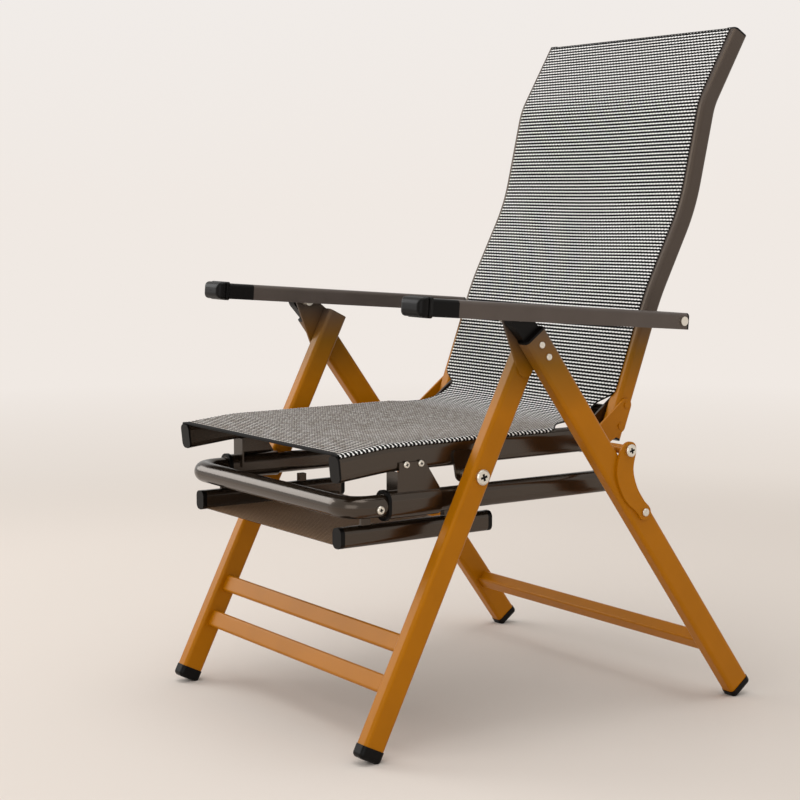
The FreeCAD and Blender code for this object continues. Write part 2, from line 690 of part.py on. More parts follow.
# Front leg frame
front_tube = leg("front_tube", "front_leg_width", "front_leg_depth", size("front_leg_x"),
                 front_floor, front_lean, front_top)
pair("front_leg", cut("front_leg", front_tube,
                      drill("seat_bolt_hole", front_in, front_out, seat_pivot, pin)))
both("front_feet", foot("front_foot", "front_leg_width", "front_leg_depth", size("front_leg_x"),
                        front_floor, front_lean))
front_section = ("front_bar_tall", "front_bar_thick")
for place_name in ("upper", "lower"):
    height = size("front_bar_%s_z" % place_name)
    keep("front_crossbar_" + place_name,
         crossbar("front_bar_" + place_name, front_section, front_in,
                  on_leg(front_floor, front_up, height), front_lean))
hinge_rounds = [(hinge.y, hinge.z, size("hinge_eye_radius"))]
for name in ("hinge_root_high", "hinge_root_low"):
    root = front_top - front_up * size(name)
    hinge_rounds.append((root.y, root.z, size("hinge_root_radius")))
both("hinge_plates", cut("hinge_plate", plate("hinge_blank", hinge_rounds, front_out, hinge_plate_out),
                         drill("hinge_plate_hole", front_out, hinge_plate_out, hinge, running)))
bracket_out = rail_out + size("bracket_thick")
nut_start = rail_out - gap - size("nut_thick")
both("seat_pivot_bolts", pin_along("seat_pivot_bolt", seat_pivot,
                                   (nut_start, front_out, pin),
                                   (nut_start, rail_out - gap, ("pin_head_radius",)),
                                   (bracket_out + gap, front_in, ("spacer_radius",)),
                                   (front_out, front_out + size("big_head_thick"),
                                    ("seat_bolt_head",))))


# Seat
seat_tall = size("seat_rail_tall")
seat_front = spot(size("seat_front_y"), size("seat_rail_z") - size("seat_front_drop"))
seat_bend = spot(size("seat_bend_y"), size("seat_rail_z") - size("seat_bend_drop"))
seat_rear = spot(size("seat_rear_y"), size("seat_rail_z"))
seat_line = [(seat_front, 0), (seat_bend, size("seat_bend_radius")), (seat_rear, 0)]


def between(start, end, y):
    """The point of a straight stretch at a depth place."""
    return start + (end - start) * ((y - start.y) / (end.y - start.y))


def end_cap(name, section, x, point, turn):
    """A plug for a tube's end: its lip stands out along the turned +Z."""
    width, depth, corner = section
    lip = bar(name + "_lip", (width,), (depth,), (corner,), total("rail_cap_thick"))
    place(lip, x, point.y, point.z, turn)
    inside = bar(name + "_plug", (width, ("tube_wall", -2), ("plug_gap", -2)),
                 (depth, ("tube_wall", -2), ("plug_gap", -2)),
                 (corner, ("tube_wall", -1), ("plug_gap", -1)), total("rail_plug_length"))
    start = point - turn * Vector(0, 0, size("rail_plug_length"))
    place(inside, x, start.y, start.z, turn)
    return fuse(name, lip, inside)


def facing(way):
    """The turn about X that points +Z along a way in side view."""
    return Rotation(Vector(1, 0, 0), -math.degrees(math.atan2(way.y, way.z)))


seat_rail = bent_rail("seat_rail", seat_line, 0, size("rail_width"), seat_tall,
                      size("seat_rail_corner"))
slide_top = size("slide_z") + size("slide_tall") / 2 + size("slide_play") + size("sleeve_wall")
plate_front = size("slide_plate_top_front")
bracket_rivets = []
for index in range(2):
    rivet_y = plate_front + size("slide_rivet_in") + index * size("slide_rivet_pitch")
    bracket_rivets.append(between(seat_bend, seat_rear, rivet_y) - spot(0, seat_tall / 4))
seat_holes = [drill("back_pivot_hole", rail_in, rail_out, back_pivot, running)]
for index, point in enumerate(bracket_rivets):
    seat_holes.append(drill("bracket_rivet_hole%d" % index, size("rail_x") + over, rail_out, point,
                            ("rivet_radius",)))
pair("seat_rail", cut("seat_rail_drilled", seat_rail, *seat_holes))
seat_section = ("rail_width", "seat_rail_tall", "seat_rail_corner")
both("seat_rail_caps",
     end_cap("seat_front_cap", seat_section, size("rail_x"), seat_front,
             facing(seat_front - seat_bend)),
     end_cap("seat_rear_cap", seat_section, size("rail_x"), seat_rear,
             facing(seat_rear - seat_bend)))


def round_tube(name, radius, half, point):
    """A round cross tube between two rails."""
    outer = rod(name + "_outer", -half, half, point.y, point.z, (radius,))
    inner = rod(name + "_inner", -half, half, point.y, point.z, (radius, ("tube_wall", -1)))
    return cut(name, outer, inner)


front_tube_middle = between(seat_front, seat_bend, size("seat_front_tube_y"))
keep("seat_front_tube", round_tube("seat_front_tube", "seat_tube_radius", rail_in,
                                   front_tube_middle))
keep("seat_rear_tube", round_tube("seat_rear_tube", "seat_tube_radius", rail_in,
                                  spot(size("seat_rear_tube_y"), size("back_pivot_z"))))

root_z = seat_pivot.z + size("bracket_root_up")
bracket_rounds = [(seat_pivot.y, seat_pivot.z, size("bracket_eye_radius"))]
for side in (1, -1):
    root_y = seat_pivot.y + side * size("bracket_root_half")
    bracket_rounds.append((root_y, root_z, size("bracket_root_radius")))
both("seat_pivot_brackets",
     cut("seat_pivot_bracket", plate("seat_bracket_blank", bracket_rounds, rail_out, bracket_out),
         drill("seat_bracket_hole", rail_out, bracket_out, seat_pivot, running)))

# Footrest slide's sleeves and brackets
slide_x = size("slide_x")
slide_z = size("slide_z")
backward = Rotation(Vector(1, 0, 0), -90)


def slide_ring(name, wall, start, length, hollow=True):
    """A ring round the slide tube, with its running clearance inside."""
    around = (("slide_play", 2), (wall, 2))
    ring = bar(name, ("slide_width",) + around, ("slide_tall",) + around,
               ("slide_corner", "slide_play", wall), length, wall if hollow else None)
    return place(ring, slide_x, start, slide_z, backward)


sleeve_length = total("sleeve_rear_y", ("sleeve_front_y", -1))
pair("slide_sleeve", slide_ring("slide_sleeve", "sleeve_wall", size("sleeve_front_y"),
                                sleeve_length))
both("sleeve_collars", slide_ring("sleeve_collar", "collar_wall",
                                  size("sleeve_front_y") - size("collar_length"),
                                  total("collar_length")))
plate_out = rail_out + size("slide_plate_thick")
lap_z = between(seat_bend, seat_rear, plate_front).z - seat_tall / 2 + size("slide_plate_lap")
flange_z = between(seat_bend, seat_rear, plate_front).z - seat_tall / 2 - gap
bracket_plate = slab("slide_bracket_plate",
                     [(plate_front, lap_z), (size("slide_plate_top_rear"), lap_z),
                      (size("sleeve_rear_y"), slide_top), (size("sleeve_rear_y"), slide_z),
                      (plate_front, slide_z)],
                     rail_out, plate_out)
bracket_flange = block("slide_bracket_flange",
                       (rail_in, plate_front - size("slide_plate_thick"), slide_z),
                       (plate_out, plate_front, flange_z))
sleeve_core = slide_ring("sleeve_core", "sleeve_wall", size("sleeve_front_y"), sleeve_length, False)
pair("slide_bracket", cut("slide_bracket", fuse("slide_bracket_blank", bracket_plate, bracket_flange),
                          sleeve_core,
                          *[drill("bracket_hole%d" % index, rail_out, plate_out, point,
                                  ("rivet_radius",)) for index, point in enumerate(bracket_rivets)]))
both("bracket_rivets",
     *[pin_along("bracket_rivet%d" % index, point,
                 (size("rail_x") + over, plate_out, ("rivet_radius",)),
                 (plate_out, plate_out + size("rivet_head_thick"), ("rivet_head",)))
       for index, point in enumerate(bracket_rivets)])

# Links from the rear legs to the seat and back pivot
# Outline as shares of the distance from the rivet to the pivot: along it, and forward of it.
LINK_SHARES = [
    (1.000, -0.130), (1.090, -0.095), (1.128, 0.000), (1.098, 0.110), (1.000, 0.205),
    (0.780, 0.325), (0.500, 0.335), (0.220, 0.245), (0.020, 0.125), (-0.085, 0.080),
    (-0.120, 0.000), (-0.085, -0.085), (0.000, -0.115), (0.130, -0.060), (0.300, 0.005),
    (0.520, 0.035), (0.720, 0.010), (0.880, -0.080),
]
link_way = back_pivot - link_rivet
link_forward = Vector(0, -link_way.z, link_way.y)
link_points = [link_rivet + link_way * along + link_forward * forward + Vector(link_in, 0, 0)
               for along, forward in LINK_SHARES]
link_curve = Part.BSplineCurve()
link_curve.interpolate(link_points, PeriodicFlag=True)
link_face = Part.Face(Part.Wire(link_curve.toShape()))
link_blank = shaped("link_blank", link_face.extrude(Vector(link_out - link_in, 0, 0)))
pair("link", cut("link", link_blank,
                 drill("link_low_hole", link_in, link_out, link_rivet,
                       ("link_rivet_radius", "pin_play")),
                 drill("link_high_hole", link_in, link_out, back_pivot, pin)))

lug_in = rail_in - gap - size("back_lug_thick")
lug_out = rail_out + gap + size("back_lug_thick")
back_pin_in = lug_in - gap - size("pin_head_thick")
back_pin_out = lug_out + gap + size("pin_head_thick")
both("back_pivot_bolts", pin_along("back_pivot_bolt", back_pivot,
                                   (back_pin_in, back_pin_out, pin),
                                   (back_pin_in, lug_in - gap, ("pin_head_radius",)),
                                   (lug_out + gap, back_pin_out, ("pin_head_radius",))))
pair("link_bolt", pin_along("link_bolt", back_pivot,
                            (back_pin_out + 2 * gap, link_out, pin),
                            (back_pin_out + 2 * gap, link_in, ("spacer_radius",)),
                            (link_out, link_out + size("big_head_thick"), ("big_head_radius",))))


# Footrest slide
slide_tube = bar("slide_tube", ("slide_width",), ("slide_tall",), ("slide_corner",),
                 total("slide_rear_y", ("slide_front_y", -1)), "tube_wall")
pair("slide_tube", place(slide_tube, slide_x, size("slide_front_y"), slide_z, backward))
hoop_bend = size("hoop_bend")
hoop_front = size("hoop_front_y")
hoop_start = size("slide_front_y")
hoop_radius = size("hoop_radius")
slant = hoop_bend * (1 - math.sqrt(0.5))
hoop_edges = []
for side in (1, -1):
    run_end = Vector(side * slide_x, hoop_front + hoop_bend, slide_z)
    corner = Vector(side * (slide_x - slant), hoop_front + slant, slide_z)
    bar_start = Vector(side * (slide_x - hoop_bend), hoop_front, slide_z)
    run = Part.LineSegment(Vector(side * slide_x, hoop_start, slide_z), run_end)
    hoop_edges.append([run.toShape(), Part.Arc(run_end, corner, bar_start).toShape()])
hoop_bar = Part.LineSegment(Vector(slide_x - hoop_bend, hoop_front, slide_z),
                            Vector(hoop_bend - slide_x, hoop_front, slide_z))
hoop_spine = hoop_edges[0] + [hoop_bar.toShape()] + hoop_edges[1][::-1]
hoop_solids = []
for label, inset in (("outer", 0), ("inner", size("tube_wall"))):
    ring = Part.Circle(Vector(slide_x, hoop_start, slide_z), Vector(0, 1, 0), hoop_radius - inset)
    hoop_solids.append(swept("hoop_" + label, Part.Wire(ring.toShape()), hoop_spine))
panel_pivot = spot(size("panel_pivot_y"), slide_z - size("panel_pivot_drop"))
lug_outer = slide_x - hoop_radius - size("lug_setback")
lug_inner = lug_outer - size("lug_thick")
screw = ("screw_radius",)
screw_hole = drill("hoop_hole", slide_x - hoop_radius, slide_x + hoop_radius, panel_pivot, screw)
keep("footrest_hoop", cut("footrest_hoop", cut("hoop_tube", *hoop_solids), screw_hole,
                          twin(screw_hole)))
screw_out = slide_x + hoop_radius
both("hoop_screws", pin_along("hoop_screw", panel_pivot,
                              (lug_inner - gap - size("nut_thick"), screw_out, screw),
                              (lug_inner - gap - size("nut_thick"), lug_inner - gap,
                               ("screw_head",)),
                              (screw_out, screw_out + size("screw_head_thick"), ("screw_head",))))

# Footrest panel
panel_x = size("panel_rail_x")
panel_z = size("panel_top_z") - size("panel_rail_tall") / 2
panel_front = size("panel_front_y")
panel_rear = size("panel_rear_y")
panel_section = (("panel_rail_width",), ("panel_rail_tall",), ("panel_rail_corner",))


def panel_bar(name, start, length, wall=None):
    """A stretch of the footrest panel's rail section."""
    tube = bar(name, *panel_section, length, wall)
    return place(tube, panel_x, start, panel_z, backward)


panel_length = total("panel_rear_y", ("panel_front_y", -1))
pair("footrest_rail", panel_bar("footrest_rail", panel_front, panel_length, "tube_wall"))
both("footrest_rail_caps",
     panel_bar("panel_front_cap", panel_front - size("panel_cap"), total("panel_cap")),
     panel_bar("panel_rear_cap", panel_rear, total("panel_cap")))
panel_core = panel_bar("panel_core", panel_front, panel_length)
mesh_low = size("panel_top_z") - size("panel_rail_tall") + size("mesh_thick")
mesh_blank = block("mesh_blank", (-panel_x, panel_front, mesh_low),
                   (panel_x, panel_rear, mesh_low + size("mesh_thick")))
keep("footrest_mesh", cut("footrest_mesh", mesh_blank, panel_core, twin(panel_core)))
eye = size("lug_eye_radius")
lug_upper = plate("lug_eye", [(panel_pivot.y, panel_pivot.z, eye), (panel_pivot.y, panel_z, eye)],
                  lug_inner, lug_outer)
pad_half = size("pad_length") / 2
pad_wide = size("pad_width") / 2
pad = block("panel_pad", (panel_x - pad_wide, size("pad_y") - pad_half, panel_z),
            (panel_x + pad_wide, size("pad_y") + pad_half, size("panel_top_z") + size("pad_tall")))
both("footrest_lugs",
     cut("panel_lug", lug_upper, panel_core,
         drill("panel_lug_hole", lug_inner, lug_outer, panel_pivot, ("screw_radius", "pin_play"))),
     cut("panel_rear_pad", pad, panel_core))

# Back
back_line = []
for name, _, _, _ in BACK_LINE:
    offset = spot(size("back_%s_dy" % name), size("back_%s_dz" % name))
    back_line.append((back_pivot + offset, size("back_%s_bend" % name)))
back_low = back_line[0][0]
back_top = back_line[-1][0]
back_way = (back_line[1][0] - back_low).normalize()
back_top_way = (back_top - back_line[-2][0]).normalize()
back_aside = size("sling_gap") + size("sling_thick") + size("back_rail_deep") / 2


def behind(way):
    """The way straight back from a stretch of the back."""
    return Vector(0, way.z, -way.y)


back_low_end = back_low + behind(back_way) * back_aside
back_top_end = back_top + behind(back_top_way) * back_aside
back_rail = bent_rail("back_rail", back_line, -back_aside, size("rail_width"),
                      size("back_rail_deep"), size("back_rail_corner"))
lug_roots = [back_low_end + back_way * size(name) for name in ("back_lug_low", "back_lug_high")]
back_holes = [drill("arm_hole_in_rail", rail_in, rail_out, arm_pivot, running)]
for index, point in enumerate(lug_roots):
    back_holes.append(drill("lug_rivet_hole%d" % index, rail_in, rail_out, point, ("rivet_radius",)))
pair("back_rail", cut("back_rail_drilled", back_rail, *back_holes))
back_section = ("rail_width", "back_rail_deep", "back_rail_corner")
both("back_rail_caps",
     end_cap("back_low_cap", back_section, size("rail_x"), back_low_end, facing(back_way * -1)),
     end_cap("back_top_cap", back_section, size("rail_x"), back_top_end, facing(back_top_way)))
keep("back_top_tube", round_tube("back_top_tube", "back_top_tube_radius", rail_in,
                                 back_top_end - back_top_way * size("back_top_tube_down")))
back_angle = math.degrees(math.atan2(back_way.y, back_way.z))
keep("back_lower_tube",
     crossbar("back_lower_tube", ("back_low_tube_tall", "back_low_tube_deep"), lug_in,
              back_low_end + back_way * size("back_low_tube_up"), back_angle))
lug_rounds = [(back_pivot.y, back_pivot.z, size("back_lug_radius"))]
for point in lug_roots:
    lug_rounds.append((point.y, point.z, size("back_lug_root")))
lugs = []
for label, start, end in (("inner", lug_in, rail_in - gap), ("outer", rail_out + gap, lug_out)):
    holes = [drill(label + "_lug_pivot_hole", start, end, back_pivot, running)]
    for index, point in enumerate(lug_roots):
        holes.append(drill("%s_lug_hole%d" % (label, index), start, end, point, ("rivet_radius",)))
    lugs.append(cut(label + "_lug", plate(label + "_lug_blank", lug_rounds, start, end), *holes))
both("back_lugs", *lugs)
both("lug_rivets",
     *[pin_along("lug_rivet%d" % index, point,
                 (lug_in, lug_out, ("rivet_radius",)),
                 (lug_out, lug_out + size("rivet_head_thick"), ("rivet_head",)))
       for index, point in enumerate(lug_roots)])

# Sling: taut over the seat and over the back, with a free span between them
sling_low = seat_tall / 2 + size("sling_gap")
sling_high = sling_low + size("sling_thick")
seat_leave = between(seat_bend, seat_rear, size("seat_sling_rear_y"))
sling_half = size("seat_sling_half")
keep("seat_sling", band("seat_sling", [seat_line[0], seat_line[1], (seat_leave, 0)],
                        sling_low, sling_high, -sling_half, sling_half))
back_meet = back_low + back_way * size("back_sling_low")
back_half = size("back_sling_half")
keep("back_sling", band("back_sling", [(back_meet, 0)] + back_line[1:], -size("sling_thick"), 0,
                        -back_half, back_half))
seat_way = (seat_rear - seat_bend).normalize()
seat_normal = Vector(0, -seat_way.z, seat_way.y)
bend_corners = [seat_leave + seat_normal * sling_low, seat_leave + seat_normal * sling_high,
                back_meet, back_meet + behind(back_way) * size("sling_thick")]
keep("sling_bend", slab("sling_bend", [(point.y, point.z) for point in bend_corners],
                        -back_half, back_half))


# Arms, each about its screw on the back rail: local Z runs forward, local Y up
arm_turn = Rotation(Vector(1, 0, 0), 90 - size("arm_tilt_angle"))
arm_forward = arm_turn * Vector(0, 0, 1)
arm_upward = arm_turn * Vector(0, 1, 0)
arm_half = size("arm_tall") / 2
arm_in = roller_in - size("arm_clear_in") - size("arm_wall")
arm_out = knuckle_out + size("arm_clear_out") + size("arm_wall")
arm_span = (("rear_leg_x", 1), ("rear_leg_width", 0.5), ("knuckle_setback", -1),
            ("front_leg_x", -1), ("front_leg_width", -0.5), ("side_play", 1),
            ("roller_length", 1), ("arm_clear_in", 1), ("arm_clear_out", 1), ("arm_wall", 2))


def arm_place(thing, x, up, forward):
    """Puts an object's origin at a place along and above the arm's own line."""
    point = arm_pivot + arm_upward * up + arm_forward * forward
    return place(thing, x, point.y, point.z, arm_turn)


def arm_stretch(name, start, length, wall=None, front_round=False):
    """A stretch of the arm's section, open or flat below."""
    tall = ("arm_tall", "arm_trim")
    blank = bar(name + "_blank", arm_span, tall, ("arm_corner",), length, wall)
    turn = arm_turn
    if front_round:
        rounded_end(blank, "grip_nose", name + "_round")
        turn = arm_turn * Rotation(Vector(0, 1, 0), 180)
        start += length[0]
    middle = arm_half - total(*tall)[0] / 2
    point = arm_pivot + arm_upward * middle + arm_forward * start
    place(blank, (arm_in + arm_out) / 2, point.y, point.z, turn)
    trim = doc.addObject("Part::Box", name + "_trim")
    trim.Length = arm_out - arm_in + 2 * over
    trim.Width = size("arm_trim") + over
    trim.Height = length[0] + 2 * over
    lowest = -arm_half - trim.Width.Value
    back_end = start - length[0] if front_round else start
    arm_place(trim, arm_in - over, lowest, back_end - over)
    return cut(name, blank, trim)


arm_hole = drill("arm_hole", arm_in, arm_out, arm_pivot, running)
arm_channel = arm_stretch("arm_channel", -size("arm_rear"), total("arm_front", "arm_rear"),
                          "arm_wall")
pair("armrest", cut("armrest", arm_channel, arm_hole))
pair("arm_end_cap", arm_stretch("arm_end_cap", -size("arm_rear") - size("arm_cap_thick"),
                                total("arm_cap_thick")))
grip_blank = arm_stretch("grip_blank", size("arm_front"), total("grip_length"), None, True)
grip_hollow = doc.addObject("Part::Box", "grip_hollow")
grip_hollow.Length = arm_out - arm_in - 2 * size("grip_wall")
grip_hollow.Width = size("arm_tall") - size("grip_wall") + over
grip_hollow.Height = size("grip_length") - size("grip_wall") + over
arm_place(grip_hollow, arm_in + size("grip_wall"), -arm_half - over, size("arm_front") - over)
pair("grip", cut("grip", grip_blank, grip_hollow))

# The rack's notches are spaced from the one above the hinge pin's roller at rest
pin_forward = (hinge - arm_pivot).dot(arm_forward)
rack_top = arm_half - size("arm_wall")
rack_tip = -size("rack_tip")
rack_start = pin_forward - 1.5 * size("rack_pitch")
rack_blank = doc.addObject("Part::Box", "rack_blank")
rack_in = arm_in + size("arm_corner")
rack_blank.Length = roller_out - rack_in
rack_blank.Width = rack_top - rack_tip
rack_blank.Height = RACK_COUNT * size("rack_pitch")
arm_place(rack_blank, rack_in, rack_tip, rack_start)
notches = []
for index in range(RACK_COUNT):
    forward = rack_start + (index + 0.5) * size("rack_pitch")
    drop = rack_tip + size("rack_notch") - size("roller_radius") - gap
    point = arm_pivot + arm_upward * drop + arm_forward * forward
    notches.append(drill("rack_notch%d" % index, rack_in, roller_out, point,
                         ("roller_radius", "side_play")))
pair("rack", cut("rack", rack_blank, *notches))

arm_nut_in = rail_in - gap - size("nut_thick")
both("arm_bolts", pin_along("arm_bolt", arm_pivot,
                            (arm_nut_in, arm_out + gap + size("pin_head_thick"), pin),
                            (arm_nut_in, rail_in - gap, ("pin_head_radius",)),
                            (rail_out + gap, arm_in - gap, ("spacer_radius",)),
                            (arm_out + gap, arm_out + gap + size("pin_head_thick"),
                             ("pin_head_radius",))))


doc.recompute()
faults = []
for thing in doc.Objects:
    if "Invalid" in thing.State or "Error" in thing.State:
        faults.append("%s is %s" % (thing.Name, thing.State))
for name, piece in pieces.items():
    if piece.Shape.isNull() or not piece.Shape.isValid():
        faults.append("%s has no valid shape" % name)
if faults:
    raise SystemExit("; ".join(faults))

os.makedirs("parts", exist_ok=True)
for name, piece in pieces.items():
    piece.Shape.exportStep(os.path.join("parts", name + ".step"))
    print("%s: %d solids, %.0f mm3" % (name, len(piece.Shape.Solids), piece.Shape.Volume))
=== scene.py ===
import json
import math

import bmesh
import bpy
from mathutils import Matrix, Vector


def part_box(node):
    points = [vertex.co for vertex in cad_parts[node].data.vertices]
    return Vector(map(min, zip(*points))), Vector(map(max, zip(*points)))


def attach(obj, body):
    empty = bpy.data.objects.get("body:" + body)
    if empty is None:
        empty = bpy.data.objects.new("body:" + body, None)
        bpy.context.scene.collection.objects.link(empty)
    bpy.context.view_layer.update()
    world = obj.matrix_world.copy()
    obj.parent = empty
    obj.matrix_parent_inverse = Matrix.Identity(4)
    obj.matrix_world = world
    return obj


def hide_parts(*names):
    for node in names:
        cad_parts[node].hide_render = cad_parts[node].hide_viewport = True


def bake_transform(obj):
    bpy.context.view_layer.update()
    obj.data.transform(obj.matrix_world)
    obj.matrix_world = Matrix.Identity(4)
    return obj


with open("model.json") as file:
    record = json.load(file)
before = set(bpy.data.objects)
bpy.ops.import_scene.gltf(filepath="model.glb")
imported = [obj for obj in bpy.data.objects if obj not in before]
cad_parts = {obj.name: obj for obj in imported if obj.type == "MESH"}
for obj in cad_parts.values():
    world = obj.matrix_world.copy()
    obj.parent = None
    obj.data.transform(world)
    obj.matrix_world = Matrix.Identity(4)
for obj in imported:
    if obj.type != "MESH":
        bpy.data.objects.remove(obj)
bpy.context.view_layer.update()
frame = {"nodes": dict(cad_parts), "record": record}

# Folding recliner with a sliding footrest, in metres.
# The sitter faces -Y, +X is the sitter's left, and the floor is Z = 0.
MM = 0.001
nodes = frame["nodes"]


# Materials

# A mix node's sockets for colours
FACTOR, FIRST, SECOND, RESULT = 0, 6, 7, 2


def linear(code):
    """An sRGB hex colour as linear RGBA."""
    channels = [int(code[place:place + 2], 16) / 255 for place in (0, 2, 4)]
    return [c / 12.92 if c <= 0.04045 else ((c + 0.055) / 1.055) ** 2.4 for c in channels] + [1.0]


def scaled(share, colour=(1.0, 1.0, 1.0)):
    """A linear colour made darker or lighter by a share. White gives a grey to multiply with."""
    return [channel * share for channel in colour[:3]] + [1.0]


def add(tree, kind, settings):
    """Adds a node. A setting is a property, an input's value or an output to link to an input."""
    node = tree.nodes.new(kind)
    for name, value in settings.items():
        if isinstance(value, bpy.types.NodeSocket):
            tree.links.new(value, node.inputs[name])
        elif isinstance(name, str) and hasattr(node, name):
            setattr(node, name, value)
        else:
            node.inputs[name].default_value = value
    return node


def surface(name, constants):
    """A new material, its tree, its shader with constant sockets set, and object coordinates."""
    material = bpy.data.materials.new(name)
    material.use_nodes = True
    tree = material.node_tree
    shader = tree.nodes["Principled BSDF"]
    for socket, value in constants.items():
        shader.inputs[socket].default_value = value
    place = add(tree, "ShaderNodeTexCoord", {}).outputs["Object"]
    return material, tree, shader, place


def grain(tree, shader, place, size_mm, height_mm):
    """Fine bumps of a given size and height on a shader's surface."""
    noise = add(tree, "ShaderNodeTexNoise", {
        "Scale": 1 / (size_mm * MM), "Detail": 3.0, "Vector": place})
    bump = add(tree, "ShaderNodeBump", {
        "Distance": height_mm * MM, "Height": noise.outputs["Fac"]})
    tree.links.new(bump.outputs["Normal"], shader.inputs["Normal"])


# Powder coat on steel tube, baked: a smooth skin with faint orange peel and a broad soft gloss.
# The coat fades from orange-brown below to grey-brown at the arms, as a sprayed fade does.
FADE_LOW = 0.475
FADE_HIGH = 0.605
FADE_MIDDLE = 0.55
ORANGE_BROWN = "AE6A00"
DEEP_BROWN = "80540E"
GREY_BROWN = "4B4441"
WARM_GLOSS = "FFD79C"
FADE_CLOUD_MM = 60


def powder_coat():
    material, tree, shader, place = surface("powder_coat_orange_brown", {
        "Roughness": 0.36, "Specular Tint": linear(WARM_GLOSS), "IOR": 1.38})
    height = add(tree, "ShaderNodeSeparateXYZ", {0: place}).outputs["Z"]
    share = add(tree, "ShaderNodeMapRange", {
        "From Min": FADE_LOW, "From Max": FADE_HIGH, "Value": height}).outputs[0]
    fade = add(tree, "ShaderNodeValToRGB", {"Fac": share})
    stops = fade.color_ramp.elements
    stops[0].color = linear(ORANGE_BROWN)
    stops[1].color = linear(GREY_BROWN)
    stops.new(FADE_MIDDLE).color = linear(DEEP_BROWN)
    cloud = add(tree, "ShaderNodeTexNoise", {
        "Scale": 1 / (FADE_CLOUD_MM * MM), "Detail": 2.0, "Vector": place}).outputs["Fac"]
    dull = add(tree, "ShaderNodeMix", {
        "data_type": "RGBA", FACTOR: cloud, FIRST: scaled(0.86), SECOND: scaled(1.08)})
    clouded = add(tree, "ShaderNodeMix", {
        "data_type": "RGBA", "blend_type": "MULTIPLY", FACTOR: 1.0,
        FIRST: fade.outputs["Color"], SECOND: dull.outputs[RESULT]})
    tree.links.new(clouded.outputs[RESULT], shader.inputs["Base Color"])
    grain(tree, shader, place, 2.2, 0.02)
    return material


leg_coat = powder_coat()
PLAIN_CLOUD_MM = 45


def plain_coat(name, colour, roughness, ior, grain_mm, grain_height_mm, gloss="FFFFFF"):
    """A coat or plastic of one colour, with a faint cloud in it and a fine grain."""
    material, tree, shader, place = surface(name, {
        "Roughness": roughness, "Specular Tint": linear(gloss), "IOR": ior})
    cloud = add(tree, "ShaderNodeTexNoise", {
        "Scale": 1 / (PLAIN_CLOUD_MM * MM), "Detail": 2.0, "Vector": place}).outputs["Fac"]
    clouded = add(tree, "ShaderNodeMix", {
        "data_type": "RGBA", FACTOR: cloud,
        FIRST: scaled(0.84, linear(colour)), SECOND: scaled(1.18, linear(colour))})
    tree.links.new(clouded.outputs[RESULT], shader.inputs["Base Color"])
    grain(tree, shader, place, grain_mm, grain_height_mm)
    return material


# Satin powder coat on the arms: a grey-brown that shows a soft lighter band along its top.
arm_coat = plain_coat("powder_coat_grey_brown", GREY_BROWN, 0.34, 1.5, 2.0, 0.02, "FFE9D2")
# Gloss powder coat on the frame under the seat: near black, with long sharp highlights.
frame_coat = plain_coat("gloss_powder_coat_black_brown", "1E160F", 0.2, 1.72, 3.0, 0.008, "FFEDDC")
# Moulded nylon caps and grips: black, with the fine spark grain of the mould.
cap_plastic = plain_coat("moulded_black_nylon", "080605", 0.36, 1.24, 0.6, 0.02)
# Cross recess of a screw head, coloured near black: painted shade of the recess over the bare nickel
# plating.
painted_shade_recess = plain_coat("screw_recess_painted_shade", "0C0A09", 0.6, 1.3, 0.5, 0.01)
# Nylon webbing of the hems: black, with a fine rib.
webbing = plain_coat("black_hem_webbing", "0B0908", 0.7, 1.3, 0.9, 0.1)
# Open mesh of the footrest, coated polyester cord, half gloss: black lengthways, and tan across,
# which is a painted highlight on the dark cross cords.
highlight_cord = plain_coat("coated_polyester_cord_painted_highlight", "94765A", 0.5, 1.4, 0.8, 0.05)
mesh_cord = plain_coat("coated_polyester_cord_black", "150F0A", 0.5, 1.4, 0.8, 0.05)


def nickel():
    """Nickel plate on steel screws: a warm pale metal, brushed faintly by the tumbling."""
    material, tree, shader, place = surface("nickel_plate", {"Metallic": 1.0, "Roughness": 0.28})
    scuff = add(tree, "ShaderNodeTexNoise", {
        "Scale": 1 / (0.8 * MM), "Detail": 4.0, "Vector": place}).outputs["Fac"]
    brushed = add(tree, "ShaderNodeMix", {
        "data_type": "RGBA", FACTOR: scuff, FIRST: linear("CFC8BA"), SECOND: linear("F4EFE4")})
    tree.links.new(brushed.outputs[RESULT], shader.inputs["Base Color"])
    grain(tree, shader, place, 0.7, 0.01)
    return material


screw_nickel = nickel()

# The weave's waves run from -1 to 1: a tooth's share of them, where white starts, and its edge
TURN = 2 * math.pi
TOOTH_DEPTH = 0.42
TOOTH_LEVEL = 0.24
THREAD_EDGE = 0.1
BACK_NARROWING = 0.2
FIBRE_MM = 0.9
MOTTLE_MM = 11


